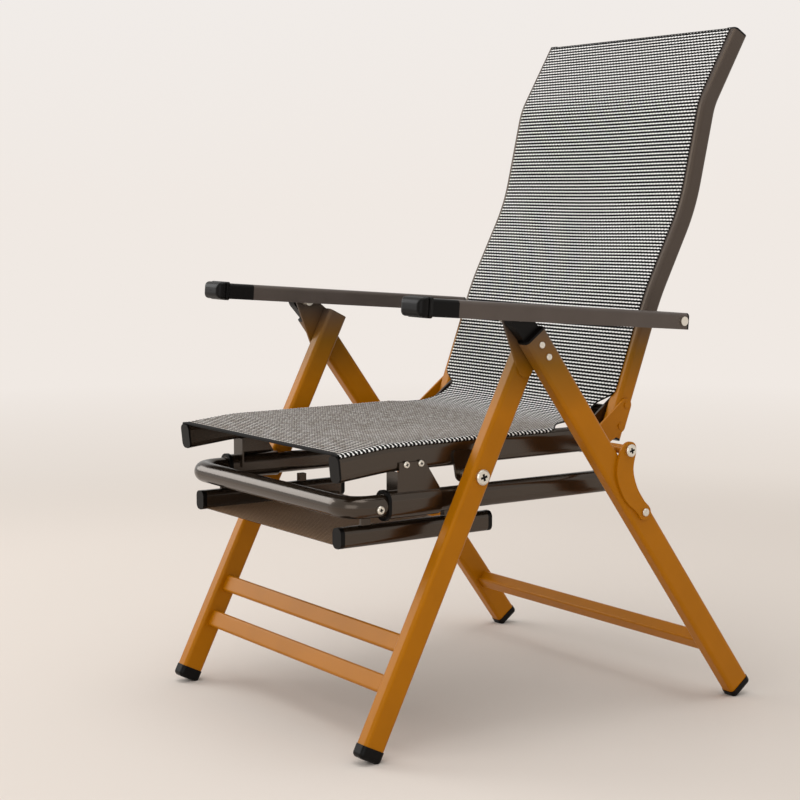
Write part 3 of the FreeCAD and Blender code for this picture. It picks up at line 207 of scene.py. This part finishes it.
def sling_cloth():
    """Woven polyester sling: black warp cords and white weft that shows as rows of teeth.

    The UV map counts weft rows along the cloth in V, and teeth across it in U. The attribute
    "contrast" is 0 on the seat, where painted shade dulls the weave to a mottled grey, and 1 where
    it's crisp."""
    material, tree, shader, place = surface("woven_black_white_polyester", {
        "Roughness": 0.7, "Specular IOR Level": 0.12})
    uv = add(tree, "ShaderNodeUVMap", {"uv_map": "weave"}).outputs["UV"]
    parts = add(tree, "ShaderNodeSeparateXYZ", {0: uv})
    across = parts.outputs["X"]
    along = parts.outputs["Y"]
    # Teeth stand half a tooth aside in every other row, and band is 1 in a row's middle.
    row = add(tree, "ShaderNodeMath", {"operation": "FLOOR", 0: along}).outputs[0]
    odd = add(tree, "ShaderNodeMath", {"operation": "PINGPONG", 0: row, 1: 1.0}).outputs[0]
    aside = add(tree, "ShaderNodeMath", {
        "operation": "MULTIPLY_ADD", 0: odd, 1: 0.5, 2: across}).outputs[0]
    tooth_turn = add(tree, "ShaderNodeMath", {"operation": "MULTIPLY", 0: aside, 1: TURN}).outputs[0]
    tooth = add(tree, "ShaderNodeMath", {"operation": "SINE", 0: tooth_turn}).outputs[0]
    row_turn = add(tree, "ShaderNodeMath", {
        "operation": "MULTIPLY_ADD", 0: along, 1: TURN, 2: math.pi}).outputs[0]
    band = add(tree, "ShaderNodeMath", {"operation": "COSINE", 0: row_turn}).outputs[0]
    level = add(tree, "ShaderNodeMath", {
        "operation": "MULTIPLY_ADD", 0: tooth, 1: TOOTH_DEPTH, 2: band}).outputs[0]
    crisp = add(tree, "ShaderNodeAttribute", {"attribute_name": "contrast"}).outputs["Fac"]
    narrowed = add(tree, "ShaderNodeMath", {
        "operation": "MULTIPLY_ADD", 0: crisp, 1: -BACK_NARROWING, 2: level}).outputs[0]
    white = add(tree, "ShaderNodeMapRange", {
        "From Min": TOOTH_LEVEL, "From Max": TOOTH_LEVEL + THREAD_EDGE, "Value": narrowed}).outputs[0]
    # On the seat, where contrast is 0, the whites are dimmed and the blacks lifted to grey: painted
    # shade of the ribs at a grazing view.
    pale_thread = add(tree, "ShaderNodeMix", {
        "data_type": "RGBA", FACTOR: crisp, FIRST: linear("CDC9C4"), SECOND: linear("F6F5F3")})
    dark_thread = add(tree, "ShaderNodeMix", {
        "data_type": "RGBA", FACTOR: crisp, FIRST: linear("2A2623"), SECOND: linear("020202")})
    woven = add(tree, "ShaderNodeMix", {
        "data_type": "RGBA", FACTOR: white,
        FIRST: dark_thread.outputs[RESULT], SECOND: pale_thread.outputs[RESULT]})
    # Random darker and lighter blotches, on the seat only.
    blotch_noise = add(tree, "ShaderNodeTexNoise", {
        "Scale": 1 / (MOTTLE_MM * MM), "Detail": 4.0, "Vector": place}).outputs["Fac"]
    mottle = add(tree, "ShaderNodeMapRange", {"From Min": 0.35, "From Max": 0.65, "Value": blotch_noise})
    patch = add(tree, "ShaderNodeMix", {
        "data_type": "RGBA", FACTOR: mottle.outputs[0], FIRST: linear("D6CEC8"), SECOND: scaled(1.1)})
    seat_patch = add(tree, "ShaderNodeMix", {
        "data_type": "RGBA", FACTOR: crisp, FIRST: patch.outputs[RESULT], SECOND: scaled(1.0)})
    fibre = add(tree, "ShaderNodeTexNoise", {
        "Scale": 1 / (FIBRE_MM * MM), "Detail": 2.0, "Vector": place}).outputs["Fac"]
    frayed = add(tree, "ShaderNodeMix", {
        "data_type": "RGBA", FACTOR: fibre, FIRST: scaled(0.86), SECOND: scaled(1.1)})
    for shade in (seat_patch, frayed):
        woven = add(tree, "ShaderNodeMix", {
            "data_type": "RGBA", "blend_type": "MULTIPLY", FACTOR: 1.0,
            FIRST: woven.outputs[RESULT], SECOND: shade.outputs[RESULT]})
    tree.links.new(woven.outputs[RESULT], shader.inputs["Base Color"])
    bump = add(tree, "ShaderNodeBump", {"Distance": 0.5 * MM, "Strength": 0.6, "Height": level})
    tree.links.new(bump.outputs["Normal"], shader.inputs["Normal"])
    return material


cloth = sling_cloth()

FINISH_OF_SLOT = {
    "leg_paint": leg_coat,
    "arm_paint": arm_coat,
    "frame_paint": frame_coat,
    "black_plastic": cap_plastic,
    "bolt_metal": screw_nickel,
    "seat_fabric": cloth,
    "back_fabric": cloth,
    "mesh_fabric": mesh_cord,
}
# The back's rails and lugs carry the legs' fade.
FADED_NODES = ["back_rail_left", "back_rail_right", "back_lugs", "lug_rivets"]

for part in frame["record"]["subparts"]:
    finish = leg_coat if part["node"] in FADED_NODES else FINISH_OF_SLOT[part["material_slot"]]
    mesh = nodes[part["node"]].data
    mesh.materials.clear()
    mesh.materials.append(finish)

# The link bolts' spacers are painted as the links, and their heads are bare.
for side in ("left", "right"):
    bolt_mesh = nodes["link_bolt_" + side].data
    bolt_mesh.materials.append(leg_coat)
    head_start = abs(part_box("link_" + side)[int(side == "left")].x)
    for face in bolt_mesh.polygons:
        face.material_index = int(abs(face.center.x) < head_start)

# The lugs on the inner side of the back's rails are black.
RAIL_MIDDLE = 219.0 * MM
lug_mesh = nodes["back_lugs"].data
lug_mesh.materials.append(frame_coat)
for face in lug_mesh.polygons:
    face.material_index = int(abs(face.center.x) < RAIL_MIDDLE)


# Making pieces

def piece(name, shape, material, body=None, smooth=True):
    """Turns a bmesh into a piece that rides on a body."""
    mesh = bpy.data.meshes.new(name)
    shape.to_mesh(mesh)
    shape.free()
    for face in mesh.polygons:
        face.use_smooth = smooth
    mesh.materials.append(material)
    thing = bpy.data.objects.new(name, mesh)
    bpy.context.scene.collection.objects.link(thing)
    if body:
        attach(thing, body)
    return thing


def join(shape, part):
    """Adds a bmesh to another and frees it."""
    scrap = bpy.data.meshes.new("scrap")
    part.to_mesh(scrap)
    part.free()
    shape.from_mesh(scrap)
    bpy.data.meshes.remove(scrap)


# Sling: one cloth from the seat's front edge to the back's top end, in four pieces.
# Its lengths are in millimetres, and cloth_point turns them to metres.
# Corners of its path in side view: depth, height and bend radius.
SEAT_CORNERS = [(-381.0, 409.8, 0.0), (-297.0, 418.5, 300.0), (5.0, 419.8, 0.0)]
SEAT_LIFT = 21.3
BACK_CORNERS = [(126.34, 485.03, 0.0), (184.0, 640.0, 420.0), (255.0, 777.0, 300.0),
                (292.0, 938.0, 120.0), (358.0, 1051.0, 0.0)]
CORNER_STEPS = 12


def rounded(corners):
    """The points of a side-view line with its corners rounded."""
    points = [Vector(corners[0][:2])]
    for before, corner, after in zip(corners, corners[1:], corners[2:]):
        here = Vector(corner[:2])
        way_in = (here - Vector(before[:2])).normalized()
        way_out = (Vector(after[:2]) - here).normalized()
        reach = corner[2] * math.tan(way_in.angle(way_out) / 2)
        start, end = here - way_in * reach, here + way_out * reach
        for step in range(CORNER_STEPS + 1):
            t = step / CORNER_STEPS
            points.append(start * (1 - t) ** 2 + here * 2 * t * (1 - t) + end * t * t)
    points.append(Vector(corners[-1][:2]))
    return points


def lifted(points, lift):
    """The points moved square to their line, upwards."""
    moved = []
    for index, point in enumerate(points):
        way = points[min(index + 1, len(points) - 1)] - points[max(index - 1, 0)]
        way.normalize()
        moved.append(point + Vector((-way.y, way.x)) * lift)
    return moved


# The free span is a smooth curve that leaves the seat and meets the back in their own directions.
BEND_HANDLE = 44.0
BEND_STEPS = 24
seat_line = lifted(rounded(SEAT_CORNERS), SEAT_LIFT)
back_line = rounded(BACK_CORNERS)
bend_start = seat_line[-1]
bend_end = back_line[0]
near = bend_start + (seat_line[-1] - seat_line[-2]).normalized() * BEND_HANDLE
far = bend_end - (back_line[1] - back_line[0]).normalized() * BEND_HANDLE
bend_line = []
for step in range(1, BEND_STEPS):
    t = step / BEND_STEPS
    bend_line.append(bend_start * (1 - t) ** 3 + near * 3 * t * (1 - t) ** 2
                     + far * 3 * t * t * (1 - t) + bend_end * t ** 3)
sling_line = seat_line + bend_line + back_line
stations = [0.0]
for first, second in zip(sling_line, sling_line[1:]):
    stations.append(stations[-1] + (second - first).length)
seat_end = stations[len(seat_line) - 1]
bend_stop = stations[len(seat_line) + len(bend_line)]
cloth_end = stations[-1]
bend_split = (seat_end + bend_stop) / 2


def at_station(along):
    """The point and direction of the sling's line at a distance from its front edge."""
    index = 1
    while index < len(stations) - 1 and stations[index] < along:
        index += 1
    first, second = sling_line[index - 1], sling_line[index]
    share = (along - stations[index - 1]) / (stations[index] - stations[index - 1])
    before = (sling_line[max(index - 1, 1)] - sling_line[max(index - 2, 0)]).normalized()
    here = (second - first).normalized()
    last = len(sling_line) - 1
    after = (sling_line[min(index + 1, last)] - sling_line[min(index, last - 1)]).normalized()
    way = (before + here) * (1 - share) / 2 + (here + after) * share / 2
    return first + (second - first) * share, way.normalized()


def eased(value, low, high):
    share = min(max((value - low) / (high - low), 0.0), 1.0)
    return share * share * (3 - 2 * share)


# Half widths: the cloth wraps over the seat rails, clears them at the bend and lies on the back's
# rails. RAIL_FLAT is where a seat rail's top ends, and RAIL_IN where the cloth stops sagging.
RAIL_FLAT = 222.5
WRAP_RADIUS = 11.3
WRAP_ANGLE = math.radians(50)
SEAT_HALF = RAIL_FLAT + WRAP_RADIUS * WRAP_ANGLE
BEND_HALF = 187.0
BACK_HALF = 219.5
NARROW_FROM = seat_end - 18
NARROW_TO = seat_end + 42
WIDEN_FROM = bend_stop - 22
WIDEN_TO = bend_stop + 6
RAIL_IN = 206.5
SEAT_SAG = 6.0
BACK_SAG = 5.0
# Weave: length of a weft row on the seat and on the back, width of a tooth and height of a rib
SEAT_PITCH = 6.7
BACK_PITCH = 5.5
TOOTH = 7.3
RIB = 0.35
SLING_THICK = 1.6


def half_width(along):
    """Half the cloth's width: wrapped over the seat rails, in between the rails at the bend."""
    narrow = SEAT_HALF + (BEND_HALF - SEAT_HALF) * eased(along, NARROW_FROM, NARROW_TO)
    return narrow + (BACK_HALF - BEND_HALF) * eased(along, WIDEN_FROM, WIDEN_TO)


def sag(along):
    """How far the cloth hangs back at its middle."""
    if along < seat_end:
        return SEAT_SAG * math.sin(math.pi * along / seat_end)
    share = (along - bend_stop) / (cloth_end - bend_stop)
    return BACK_SAG * math.sin(math.pi * share) if share > 0 else 0.0


ROW_STEP = 1.0
row_counts = [0.0]
while (len(row_counts) - 1) * ROW_STEP < cloth_end:
    here = (len(row_counts) - 0.5) * ROW_STEP
    pitch = SEAT_PITCH + (BACK_PITCH - SEAT_PITCH) * eased(here, seat_end - 20, bend_stop)
    row_counts.append(row_counts[-1] + ROW_STEP / pitch)


def rows_at(along):
    """How many weft rows lie between the front edge and here."""
    index = min(int(along / ROW_STEP), len(row_counts) - 2)
    rows_here = row_counts[index + 1] - row_counts[index]
    return row_counts[index] + rows_here * (along / ROW_STEP - index)


def cloth_point(across, along, lift=0.0):
    """A point of the cloth: across from the middle, along from the front edge, in metres."""
    point, way = at_station(min(max(along, 0.0), cloth_end))
    out = Vector((-way.y, way.x))
    side = abs(across)
    share = min(side / RAIL_IN, 1.0)
    down = sag(along) * (1 - share * share) ** 2
    turn = max(side - RAIL_FLAT, 0.0) / WRAP_RADIUS
    if half_width(along) <= RAIL_FLAT:
        turn = 0.0
    flat = side - turn * WRAP_RADIUS
    reach = flat + (WRAP_RADIUS + lift) * math.sin(turn)
    down += (WRAP_RADIUS + lift) * (1 - math.cos(turn)) - lift
    place = point - out * down
    return Vector((math.copysign(reach, across), place.x, place.y)) * MM


COLUMNS = 40
PER_ROW = 4


def cloth_piece(name, start, end, nodes_replaced):
    """A piece of the sling between two stations, with its weft rows raised as ribs.

    Its weave is crisp where it turns down over the rails, and from the seat's rear end on; on the
    rest of the seat its threads take painted shade."""
    count = round((rows_at(end) - rows_at(start)) * PER_ROW)
    shape = bmesh.new()
    bmesh.ops.create_grid(shape, x_segments=COLUMNS, y_segments=count, size=1.0)
    uv = shape.loops.layers.uv.new("weave")
    contrast = shape.verts.layers.float.new("contrast")
    spots = {}
    for vertex in shape.verts:
        along = start + (end - start) * (vertex.co.y + 1) / 2
        share = vertex.co.x
        across = half_width(along) * (1.5 * share - 0.5 * share ** 3)
        rows = rows_at(along)
        rib = -RIB * math.cos(TURN * rows)
        spots[vertex.index] = (across / TOOTH, rows)
        # contrast: 1 where the weave is crisp, 0 where the seat's threads take painted shade.
        wrapped = eased(abs(across), RAIL_FLAT - 4.0, RAIL_FLAT + 1.0)
        vertex[contrast] = max(wrapped, eased(along, seat_end - 6.0, bend_split + 20.0))
        vertex.co = cloth_point(across, along, rib)
    for face in shape.faces:
        for loop in face.loops:
            loop[uv].uv = spots[loop.vert.index]
    thing = piece(name, shape, cloth)
    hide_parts(*nodes_replaced)
    solid = thing.modifiers.new("thickness", "SOLIDIFY")
    solid.thickness = SLING_THICK * MM
    solid.offset = -1.0
    return thing


seat_cloth = cloth_piece("seat_cloth", 0.0, seat_end, ["seat_sling"])
bend_low = cloth_piece("bend_cloth_low", seat_end, bend_split, ["sling_bend"])
bend_high = cloth_piece("bend_cloth_high", bend_split, bend_stop, ["sling_bend"])
back_cloth = cloth_piece("back_cloth", bend_stop, cloth_end, ["back_sling"])
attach(seat_cloth, "seat")
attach(back_cloth, "back")


def middle_of(along):
    return cloth_point(0.0, along)


middle_of(seat_end)
middle_of(bend_split)
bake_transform(bend_low)
middle_of(bend_split)
middle_of(bend_stop)
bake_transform(bend_high)


# Hems and piping of webbing round the cloth's free edges
HEM_RADIUS = 2.4
PIPING_RADIUS = 1.3
HEM_STEPS = 40
HEM_SIDES = 8
HEM_MERGE = 0.02 * MM
# A direction that no hem runs along, to measure turns from
ASIDE = Vector((0.31, 0.42, 0.85))


def hem(name, paths, radius):
    """A rolled edge of webbing along one or more paths, each a function from 0 to 1."""
    shape = bmesh.new()
    for path in paths:
        rope = bmesh.new()
        bmesh.ops.create_grid(rope, x_segments=HEM_STEPS, y_segments=HEM_SIDES, size=1.0)
        for vertex in rope.verts:
            share = (vertex.co.x + 1) / 2
            turn = math.pi * (vertex.co.y + 1)
            here = path(share)
            way = (path(min(share + 0.01, 1.0)) - path(max(share - 0.01, 0.0))).normalized()
            side = way.cross(ASIDE).normalized()
            other = way.cross(side)
            vertex.co = here + (side * math.cos(turn) + other * math.sin(turn)) * radius
        bmesh.ops.remove_doubles(rope, verts=rope.verts[:], dist=HEM_MERGE)
        join(shape, rope)
    return piece(name, shape, webbing)


def across_at(along, reach):
    """A path across the cloth from one side to the other."""
    return lambda share: cloth_point(reach * (2 * share - 1), along, -SLING_THICK / 2)


def edge_between(start, end, side):
    """A path along one side edge of the cloth."""
    def path(share):
        along = start + (end - start) * share
        return cloth_point(side * half_width(along), along, -SLING_THICK / 2)
    return path


seat_hem = hem("seat_front_hem", [across_at(1.0, RAIL_FLAT + 6.0)], HEM_RADIUS * MM)
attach(seat_hem, "seat")
back_hem = hem("back_top_hem", [across_at(cloth_end - 1.0, BACK_HALF)], PIPING_RADIUS * MM)
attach(back_hem, "back")
low_piping = hem("bend_piping_low",
                 [edge_between(seat_end, bend_split, side) for side in (1, -1)],
                 PIPING_RADIUS * MM)
middle_of(seat_end)
middle_of(bend_split)
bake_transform(low_piping)
high_piping = hem("bend_piping_high",
                  [edge_between(bend_split, bend_stop, side) for side in (1, -1)],
                  PIPING_RADIUS * MM)
middle_of(bend_split)
middle_of(bend_stop)
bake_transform(high_piping)


# Footrest mesh: flat cords across and lengthways, crossing over each other
CORD_THICK = 0.5 * MM
CROSS_CORDS = 44
CROSS_CORD_WIDTH = 3.0 * MM
LONG_CORDS = 120
LONG_CORD_WIDTH = 0.9 * MM


def cords(shape, count, run, low, high, width, level):
    """Parallel flat cords between two corners of the panel."""
    for index in range(count):
        share = (index + 0.5) / count
        made = bmesh.ops.create_cube(shape, size=1.0)["verts"]
        if run == "x":
            scale = Vector((high.x - low.x, width, CORD_THICK))
            centre = Vector(((low.x + high.x) / 2, low.y + (high.y - low.y) * share, level))
        else:
            scale = Vector((width, high.y - low.y, CORD_THICK))
            centre = Vector((low.x + (high.x - low.x) * share, (low.y + high.y) / 2, level))
        bmesh.ops.scale(shape, vec=scale, verts=made)
        bmesh.ops.translate(shape, vec=centre, verts=made)


mesh_low, mesh_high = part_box("footrest_mesh")
mesh_middle = (mesh_low.z + mesh_high.z) / 2
footrest_net = bmesh.new()
cords(footrest_net, CROSS_CORDS, "x", mesh_low, mesh_high, CROSS_CORD_WIDTH,
      mesh_middle + CORD_THICK / 2)
# The cross cords take the second slot, tan: a painted highlight.
for face in footrest_net.faces:
    face.material_index = 1
cords(footrest_net, LONG_CORDS, "y", mesh_low, mesh_high, LONG_CORD_WIDTH,
      mesh_middle - CORD_THICK / 2)
footrest_cloth = piece("footrest_cords", footrest_net, mesh_cord, "footrest_panel",
                       smooth=False)
footrest_cloth.data.materials.append(highlight_cord)
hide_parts("footrest_mesh")


# Screw and rivet heads: low domes on the CAD's plain heads, with a cross recess or a dimple
CROSS_POINTS = [(1, 3), (1, 1), (3, 1), (3, -1), (1, -1), (1, -3),
                (-1, -3), (-1, -1), (-3, -1), (-3, 1), (-1, 1), (-1, 3)]
HEAD_SEGMENTS = 24
# Shares of a head's radius or height: its flat crown, and the cross's unit, stretch and depth
CROWN = 0.84
CROSS_SIZE = 0.155
CROSS_STRETCH = 1.1
CROSS_DEPTH = 0.9
CROSS_TAPER = 0.8
CROSS_TURN = 0.25


def cross_head(shape, centre, side, radius, dome, turned):
    """A domed head facing +X or -X, with a cross sunk in it."""
    rim = bmesh.ops.create_circle(shape, segments=HEAD_SEGMENTS, radius=CROWN * radius)["verts"]
    rim_edges = shape.edges[:]
    arm = CROSS_SIZE * radius
    cross = [shape.verts.new((x * arm, y * arm * CROSS_STRETCH, 0.0)) for x, y in CROSS_POINTS]
    cross_edges = [shape.edges.new((cross[k - 1], cross[k])) for k in range(len(cross))]
    bmesh.ops.triangle_fill(shape, use_beauty=True, edges=rim_edges + cross_edges)
    skirt = bmesh.ops.extrude_edge_only(shape, edges=rim_edges)["geom"]
    outer = [part for part in skirt if isinstance(part, bmesh.types.BMVert)]
    bmesh.ops.scale(shape, vec=(1 / CROWN, 1 / CROWN, 1.0), verts=outer)
    bmesh.ops.translate(shape, vec=(0, 0, -dome), verts=outer)
    walls = bmesh.ops.extrude_edge_only(shape, edges=cross_edges)["geom"]
    deep = [part for part in walls if isinstance(part, bmesh.types.BMVert)]
    bmesh.ops.translate(shape, vec=(0, 0, -CROSS_DEPTH * dome), verts=deep)
    bmesh.ops.scale(shape, vec=(CROSS_TAPER, CROSS_TAPER, 1.0), verts=deep)
    deep_edges = [part for part in walls if isinstance(part, bmesh.types.BMEdge)
                  and all(vertex in deep for vertex in part.verts)]
    floor_faces = bmesh.ops.triangle_fill(shape, use_beauty=True, edges=deep_edges)["geom"]
    # The recess's walls and floor take the second slot, the painted shade.
    for part in walls + floor_faces:
        if isinstance(part, bmesh.types.BMFace):
            part.material_index = 1
    place_head(shape, rim + cross + outer + deep, centre, side, dome, turned)


# A dimple's profile: shares of the head's radius and of its height
DIMPLE_PROFILE = [(1.0, -1.0), (0.94, -0.4), (0.72, 0.0), (0.34, 0.0), (0.12, -0.6)]
DIMPLE_RING = 0.13


def dimple_head(shape, centre, side, radius, dome):
    """A rivet's head facing +X or -X, with the small dimple that its tool leaves."""
    points = [shape.verts.new((x * radius, 0.0, z * dome)) for x, z in DIMPLE_PROFILE]
    edges = [shape.edges.new(pair) for pair in zip(points, points[1:])]
    bmesh.ops.spin(shape, geom=points + edges, cent=(0, 0, 0), axis=(0, 0, 1),
                   angle=TURN, steps=HEAD_SEGMENTS, use_merge=True)
    dimple = [vertex for vertex in shape.verts
              if math.hypot(vertex.co.x, vertex.co.y) < DIMPLE_RING * radius]
    bmesh.ops.contextual_create(shape, geom=dimple)
    place_head(shape, shape.verts[:], centre, side, dome, 0.0)


def place_head(shape, made, centre, side, dome, turned):
    """Turns a head made facing +Z to face +X or -X, at its place."""
    place = Matrix.Translation(Vector(centre) + Vector((side * dome, 0, 0)))
    place = place @ Matrix.Rotation(side * math.pi / 2, 4, "Y") @ Matrix.Rotation(turned, 4, "Z")
    bmesh.ops.transform(shape, matrix=place, verts=made)


def solids_of(node):
    """The low and high corner of each loose solid in a node's mesh."""
    shape = bmesh.new()
    shape.from_mesh(nodes[node].data)
    bmesh.ops.remove_doubles(shape, verts=shape.verts[:], dist=0.001 * MM)
    waiting = set(shape.verts)
    corners = []
    for first in shape.verts:
        if first not in waiting:
            continue
        waiting.discard(first)
        found = [first]
        for vertex in found:
            for edge in vertex.link_edges:
                other = edge.other_vert(vertex)
                if other in waiting:
                    waiting.discard(other)
                    found.append(other)
        spots = [vertex.co for vertex in found]
        corners.append([Vector([pick(spot[axis] for spot in spots) for axis in range(3)])
                        for pick in (min, max)])
    shape.free()
    return corners


def heads(name, node, body, kind, dome):
    """A head on the outer end of each screw or rivet of a node."""
    shape = bmesh.new()
    for low, high in solids_of(node):
        middle = (low + high) / 2
        side = 1 if middle.x > 0 else -1
        end = high.x if side > 0 else low.x
        radius = (high.y - low.y) / 2
        one = bmesh.new()
        if kind == "cross":
            cross_head(one, (end, middle.y, middle.z), side, radius, dome, CROSS_TURN * side)
        else:
            dimple_head(one, (end, middle.y, middle.z), side, radius, dome)
        bmesh.ops.recalc_face_normals(one, faces=one.faces[:])
        join(shape, one)
    thing = piece(name, shape, screw_nickel, body, smooth=False)
    # The second slot is the cross recess's painted shade.
    thing.data.materials.append(painted_shade_recess)
    return thing


heads("seat_pivot_heads", "seat_pivot_bolts", "front_frame", "cross", 1.6 * MM)
heads("link_head_left", "link_bolt_left", "left_link", "cross", 1.4 * MM)
heads("link_head_right", "link_bolt_right", "right_link", "cross", 1.4 * MM)
heads("hoop_screw_heads", "hoop_screws", "slide", "cross", 1.2 * MM)
heads("bracket_rivet_heads", "bracket_rivets", "seat", "cross", 0.9 * MM)
heads("leg_rivet_heads", "leg_rivets", "rear_frame", "dimple", 0.9 * MM)


# Grips: a domed nose and a raised ring over the CAD's plain grip, on the arm's own slope
# The distances are from the arm's screw along the arm, in millimetres.
ARM_SLOPE = math.radians(4.36)
ARM_SCREW = Vector((0.0, 186.0, 599.0)) * MM
ARM_TALL = 25.0
NOSE_END = 489.0
RING_START = 468.0
RING_LENGTH = 6.0
DOME_STEPS = 6


def grip_cover(name, side, length, proud, corner, dome):
    """A block round the grip from the ring forward, with rounded long edges and a domed front."""
    low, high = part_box("grip_" + side)
    half_wide = (high.x - low.x) / 2 + proud * MM
    half_tall = (ARM_TALL / 2 + proud) * MM
    straight = (length - dome) * MM
    shape = bmesh.new()
    bmesh.ops.create_cube(shape, size=2.0)
    bmesh.ops.scale(shape, vec=(half_wide, straight / 2, half_tall), verts=shape.verts)
    long_edges = [edge for edge in shape.edges
                  if edge.verts[0].co.y * edge.verts[1].co.y < 0]
    bmesh.ops.bevel(shape, geom=long_edges, offset=corner * MM, segments=3, profile=0.5,
                    affect="EDGES")
    front = min(shape.faces, key=lambda face: face.calc_center_median().y)
    for step in range(DOME_STEPS):
        before = math.pi / 2 * step / DOME_STEPS
        after = math.pi / 2 * (step + 1) / DOME_STEPS
        shrink = dome * MM * (math.cos(before) - math.cos(after))
        front = bmesh.ops.extrude_discrete_faces(shape, faces=[front])["faces"][0]
        wide = max(vertex.co.x for vertex in front.verts)
        tall = max(vertex.co.z for vertex in front.verts)
        bmesh.ops.scale(shape, vec=(1 - shrink / wide, 1, 1 - shrink / tall), verts=front.verts)
        ahead = dome * MM * (math.sin(after) - math.sin(before))
        bmesh.ops.translate(shape, vec=(0, -ahead, 0), verts=front.verts)
    bmesh.ops.translate(shape, vec=(0, -RING_START * MM - straight / 2, 0), verts=shape.verts)
    place = Matrix.Translation(ARM_SCREW + Vector(((low.x + high.x) / 2, 0, 0)))
    place = place @ Matrix.Rotation(-ARM_SLOPE, 4, "X")
    bmesh.ops.transform(shape, matrix=place, verts=shape.verts)
    cover = piece(name, shape, cap_plastic, side + "_arm")
    cover.modifiers.new("flat_faces", "WEIGHTED_NORMAL")


for side in ("left", "right"):
    grip_cover("grip_nose_" + side, side, NOSE_END - RING_START, proud=1.4, corner=4.5, dome=10.0)
    grip_cover("grip_ring_" + side, side, RING_LENGTH, proud=2.4, corner=5.0, dome=1.0)


# Camera, at the photograph's place
CAMERA_TURN = math.radians(55.42)
CAMERA_DOWN = math.radians(6.25)
SENSOR = 36.0
FOCAL_PIXELS = 1796.0
PICTURE_PIXELS = 800.0
camera_data = bpy.data.cameras.new("camera")
camera_data.sensor_width = SENSOR
camera_data.lens = SENSOR * FOCAL_PIXELS / PICTURE_PIXELS
camera_data.clip_end = 60.0
camera = bpy.data.objects.new("camera", camera_data)
camera.location = (2.2955, -1.7047, 0.776)
camera.rotation_euler = (math.pi / 2 - CAMERA_DOWN, 0.0, CAMERA_TURN)
bpy.context.scene.collection.objects.link(camera)
bpy.context.scene.camera = camera


# Floor: a wide sheet of matt paper, lit near the chair and fading to the backdrop's own shade
FLOOR_RADIUS = 150.0
LIT_RADIUS = 1.3
FADE_RADIUS = 2.6
FAR_RADIUS = 5.0
FLOOR_SHADE = "DFD5CB"
MIDDLE_SHADE = "F0E9E3"
TOP_SHADE = "F1ECE8"
BACKDROP_RISE = 0.11
LIGHT_STRENGTH = 0.75


def floor_paper():
    """Matt paper that takes the chair's shadow, and past it is as pale as the backdrop."""
    material, tree, shader, place = surface("matt_paper", {
        "Roughness": 0.95, "Specular IOR Level": 0.1})
    cloud = add(tree, "ShaderNodeTexNoise", {
        "Scale": 0.8, "Detail": 1.0, "Vector": place}).outputs["Fac"]
    clouded = add(tree, "ShaderNodeMix", {
        "data_type": "RGBA", FACTOR: cloud, FIRST: linear("D9D0C8"), SECOND: linear("DDD4CC")})
    tree.links.new(clouded.outputs[RESULT], shader.inputs["Base Color"])
    reach = add(tree, "ShaderNodeVectorMath", {"operation": "LENGTH", 0: place}).outputs["Value"]
    paleness = add(tree, "ShaderNodeMapRange", {
        "From Min": LIT_RADIUS, "From Max": FAR_RADIUS, "Value": reach})
    shade = add(tree, "ShaderNodeMix", {
        "data_type": "RGBA", FACTOR: paleness.outputs[0],
        FIRST: linear(FLOOR_SHADE), SECOND: linear(MIDDLE_SHADE)})
    glow = add(tree, "ShaderNodeEmission", {"Color": shade.outputs[RESULT]})
    leave = add(tree, "ShaderNodeMapRange", {
        "From Min": LIT_RADIUS, "From Max": FADE_RADIUS, "interpolation_type": "SMOOTHSTEP",
        "Value": reach})
    both = add(tree, "ShaderNodeMixShader", {
        0: leave.outputs[0], 1: shader.outputs[0], 2: glow.outputs[0]})
    tree.links.new(both.outputs[0], tree.nodes["Material Output"].inputs["Surface"])
    return material


paper = bmesh.new()
bmesh.ops.create_circle(paper, cap_ends=True, segments=64, radius=FLOOR_RADIUS)
floor = piece("floor", paper, floor_paper(), smooth=False)


def studio_world():
    """Soft light from all round, and the pale backdrop where the camera sees past the floor."""
    world = bpy.data.worlds.new("studio")
    bpy.context.scene.world = world
    world.use_nodes = True
    tree = world.node_tree
    tree.nodes.clear()
    light = add(tree, "ShaderNodeBackground", {"Color": linear("F5F3F0"), "Strength": LIGHT_STRENGTH})
    way = add(tree, "ShaderNodeTexCoord", {}).outputs["Generated"]
    up = add(tree, "ShaderNodeSeparateXYZ", {0: way}).outputs["Z"]
    share = add(tree, "ShaderNodeMapRange", {"From Min": 0.0, "From Max": BACKDROP_RISE, "Value": up})
    shade = add(tree, "ShaderNodeMix", {
        "data_type": "RGBA", FACTOR: share.outputs[0],
        FIRST: linear(MIDDLE_SHADE), SECOND: linear(TOP_SHADE)})
    seen = add(tree, "ShaderNodeBackground", {"Strength": 1.0, "Color": shade.outputs[RESULT]})
    rays = add(tree, "ShaderNodeLightPath", {})
    open_ray = add(tree, "ShaderNodeMath", {
        "operation": "MAXIMUM", 0: rays.outputs["Is Camera Ray"],
        1: rays.outputs["Is Transmission Ray"]})
    both = add(tree, "ShaderNodeMixShader", {
        0: open_ray.outputs[0], 1: light.outputs[0], 2: seen.outputs[0]})
    add(tree, "ShaderNodeOutputWorld", {"Surface": both.outputs[0]})


studio_world()


def lamp(name, place, target, size, power):
    """A white rectangular softbox that faces a point."""
    data = bpy.data.lights.new(name, "AREA")
    data.shape = "RECTANGLE"
    data.size, data.size_y = size
    data.energy = power
    light = bpy.data.objects.new(name, data)
    light.location = place
    light.rotation_euler = (Vector(target) - Vector(place)).to_track_quat("-Z", "Y").to_euler()
    bpy.context.scene.collection.objects.link(light)


lamp("left_softbox", (-3.2, -2.0, 2.0), (0, 0, 0.6), (2.6, 2.2), 53)
lamp("top_softbox", (0.2, -0.3, 3.6), (0, 0, 0.3), (2.8, 2.8), 48)
lamp("front_fill", (2.2, -3.2, 1.3), (0, 0, 0.4), (2.4, 2.0), 20)
bpy.context.scene.view_settings.view_transform = "Standard"
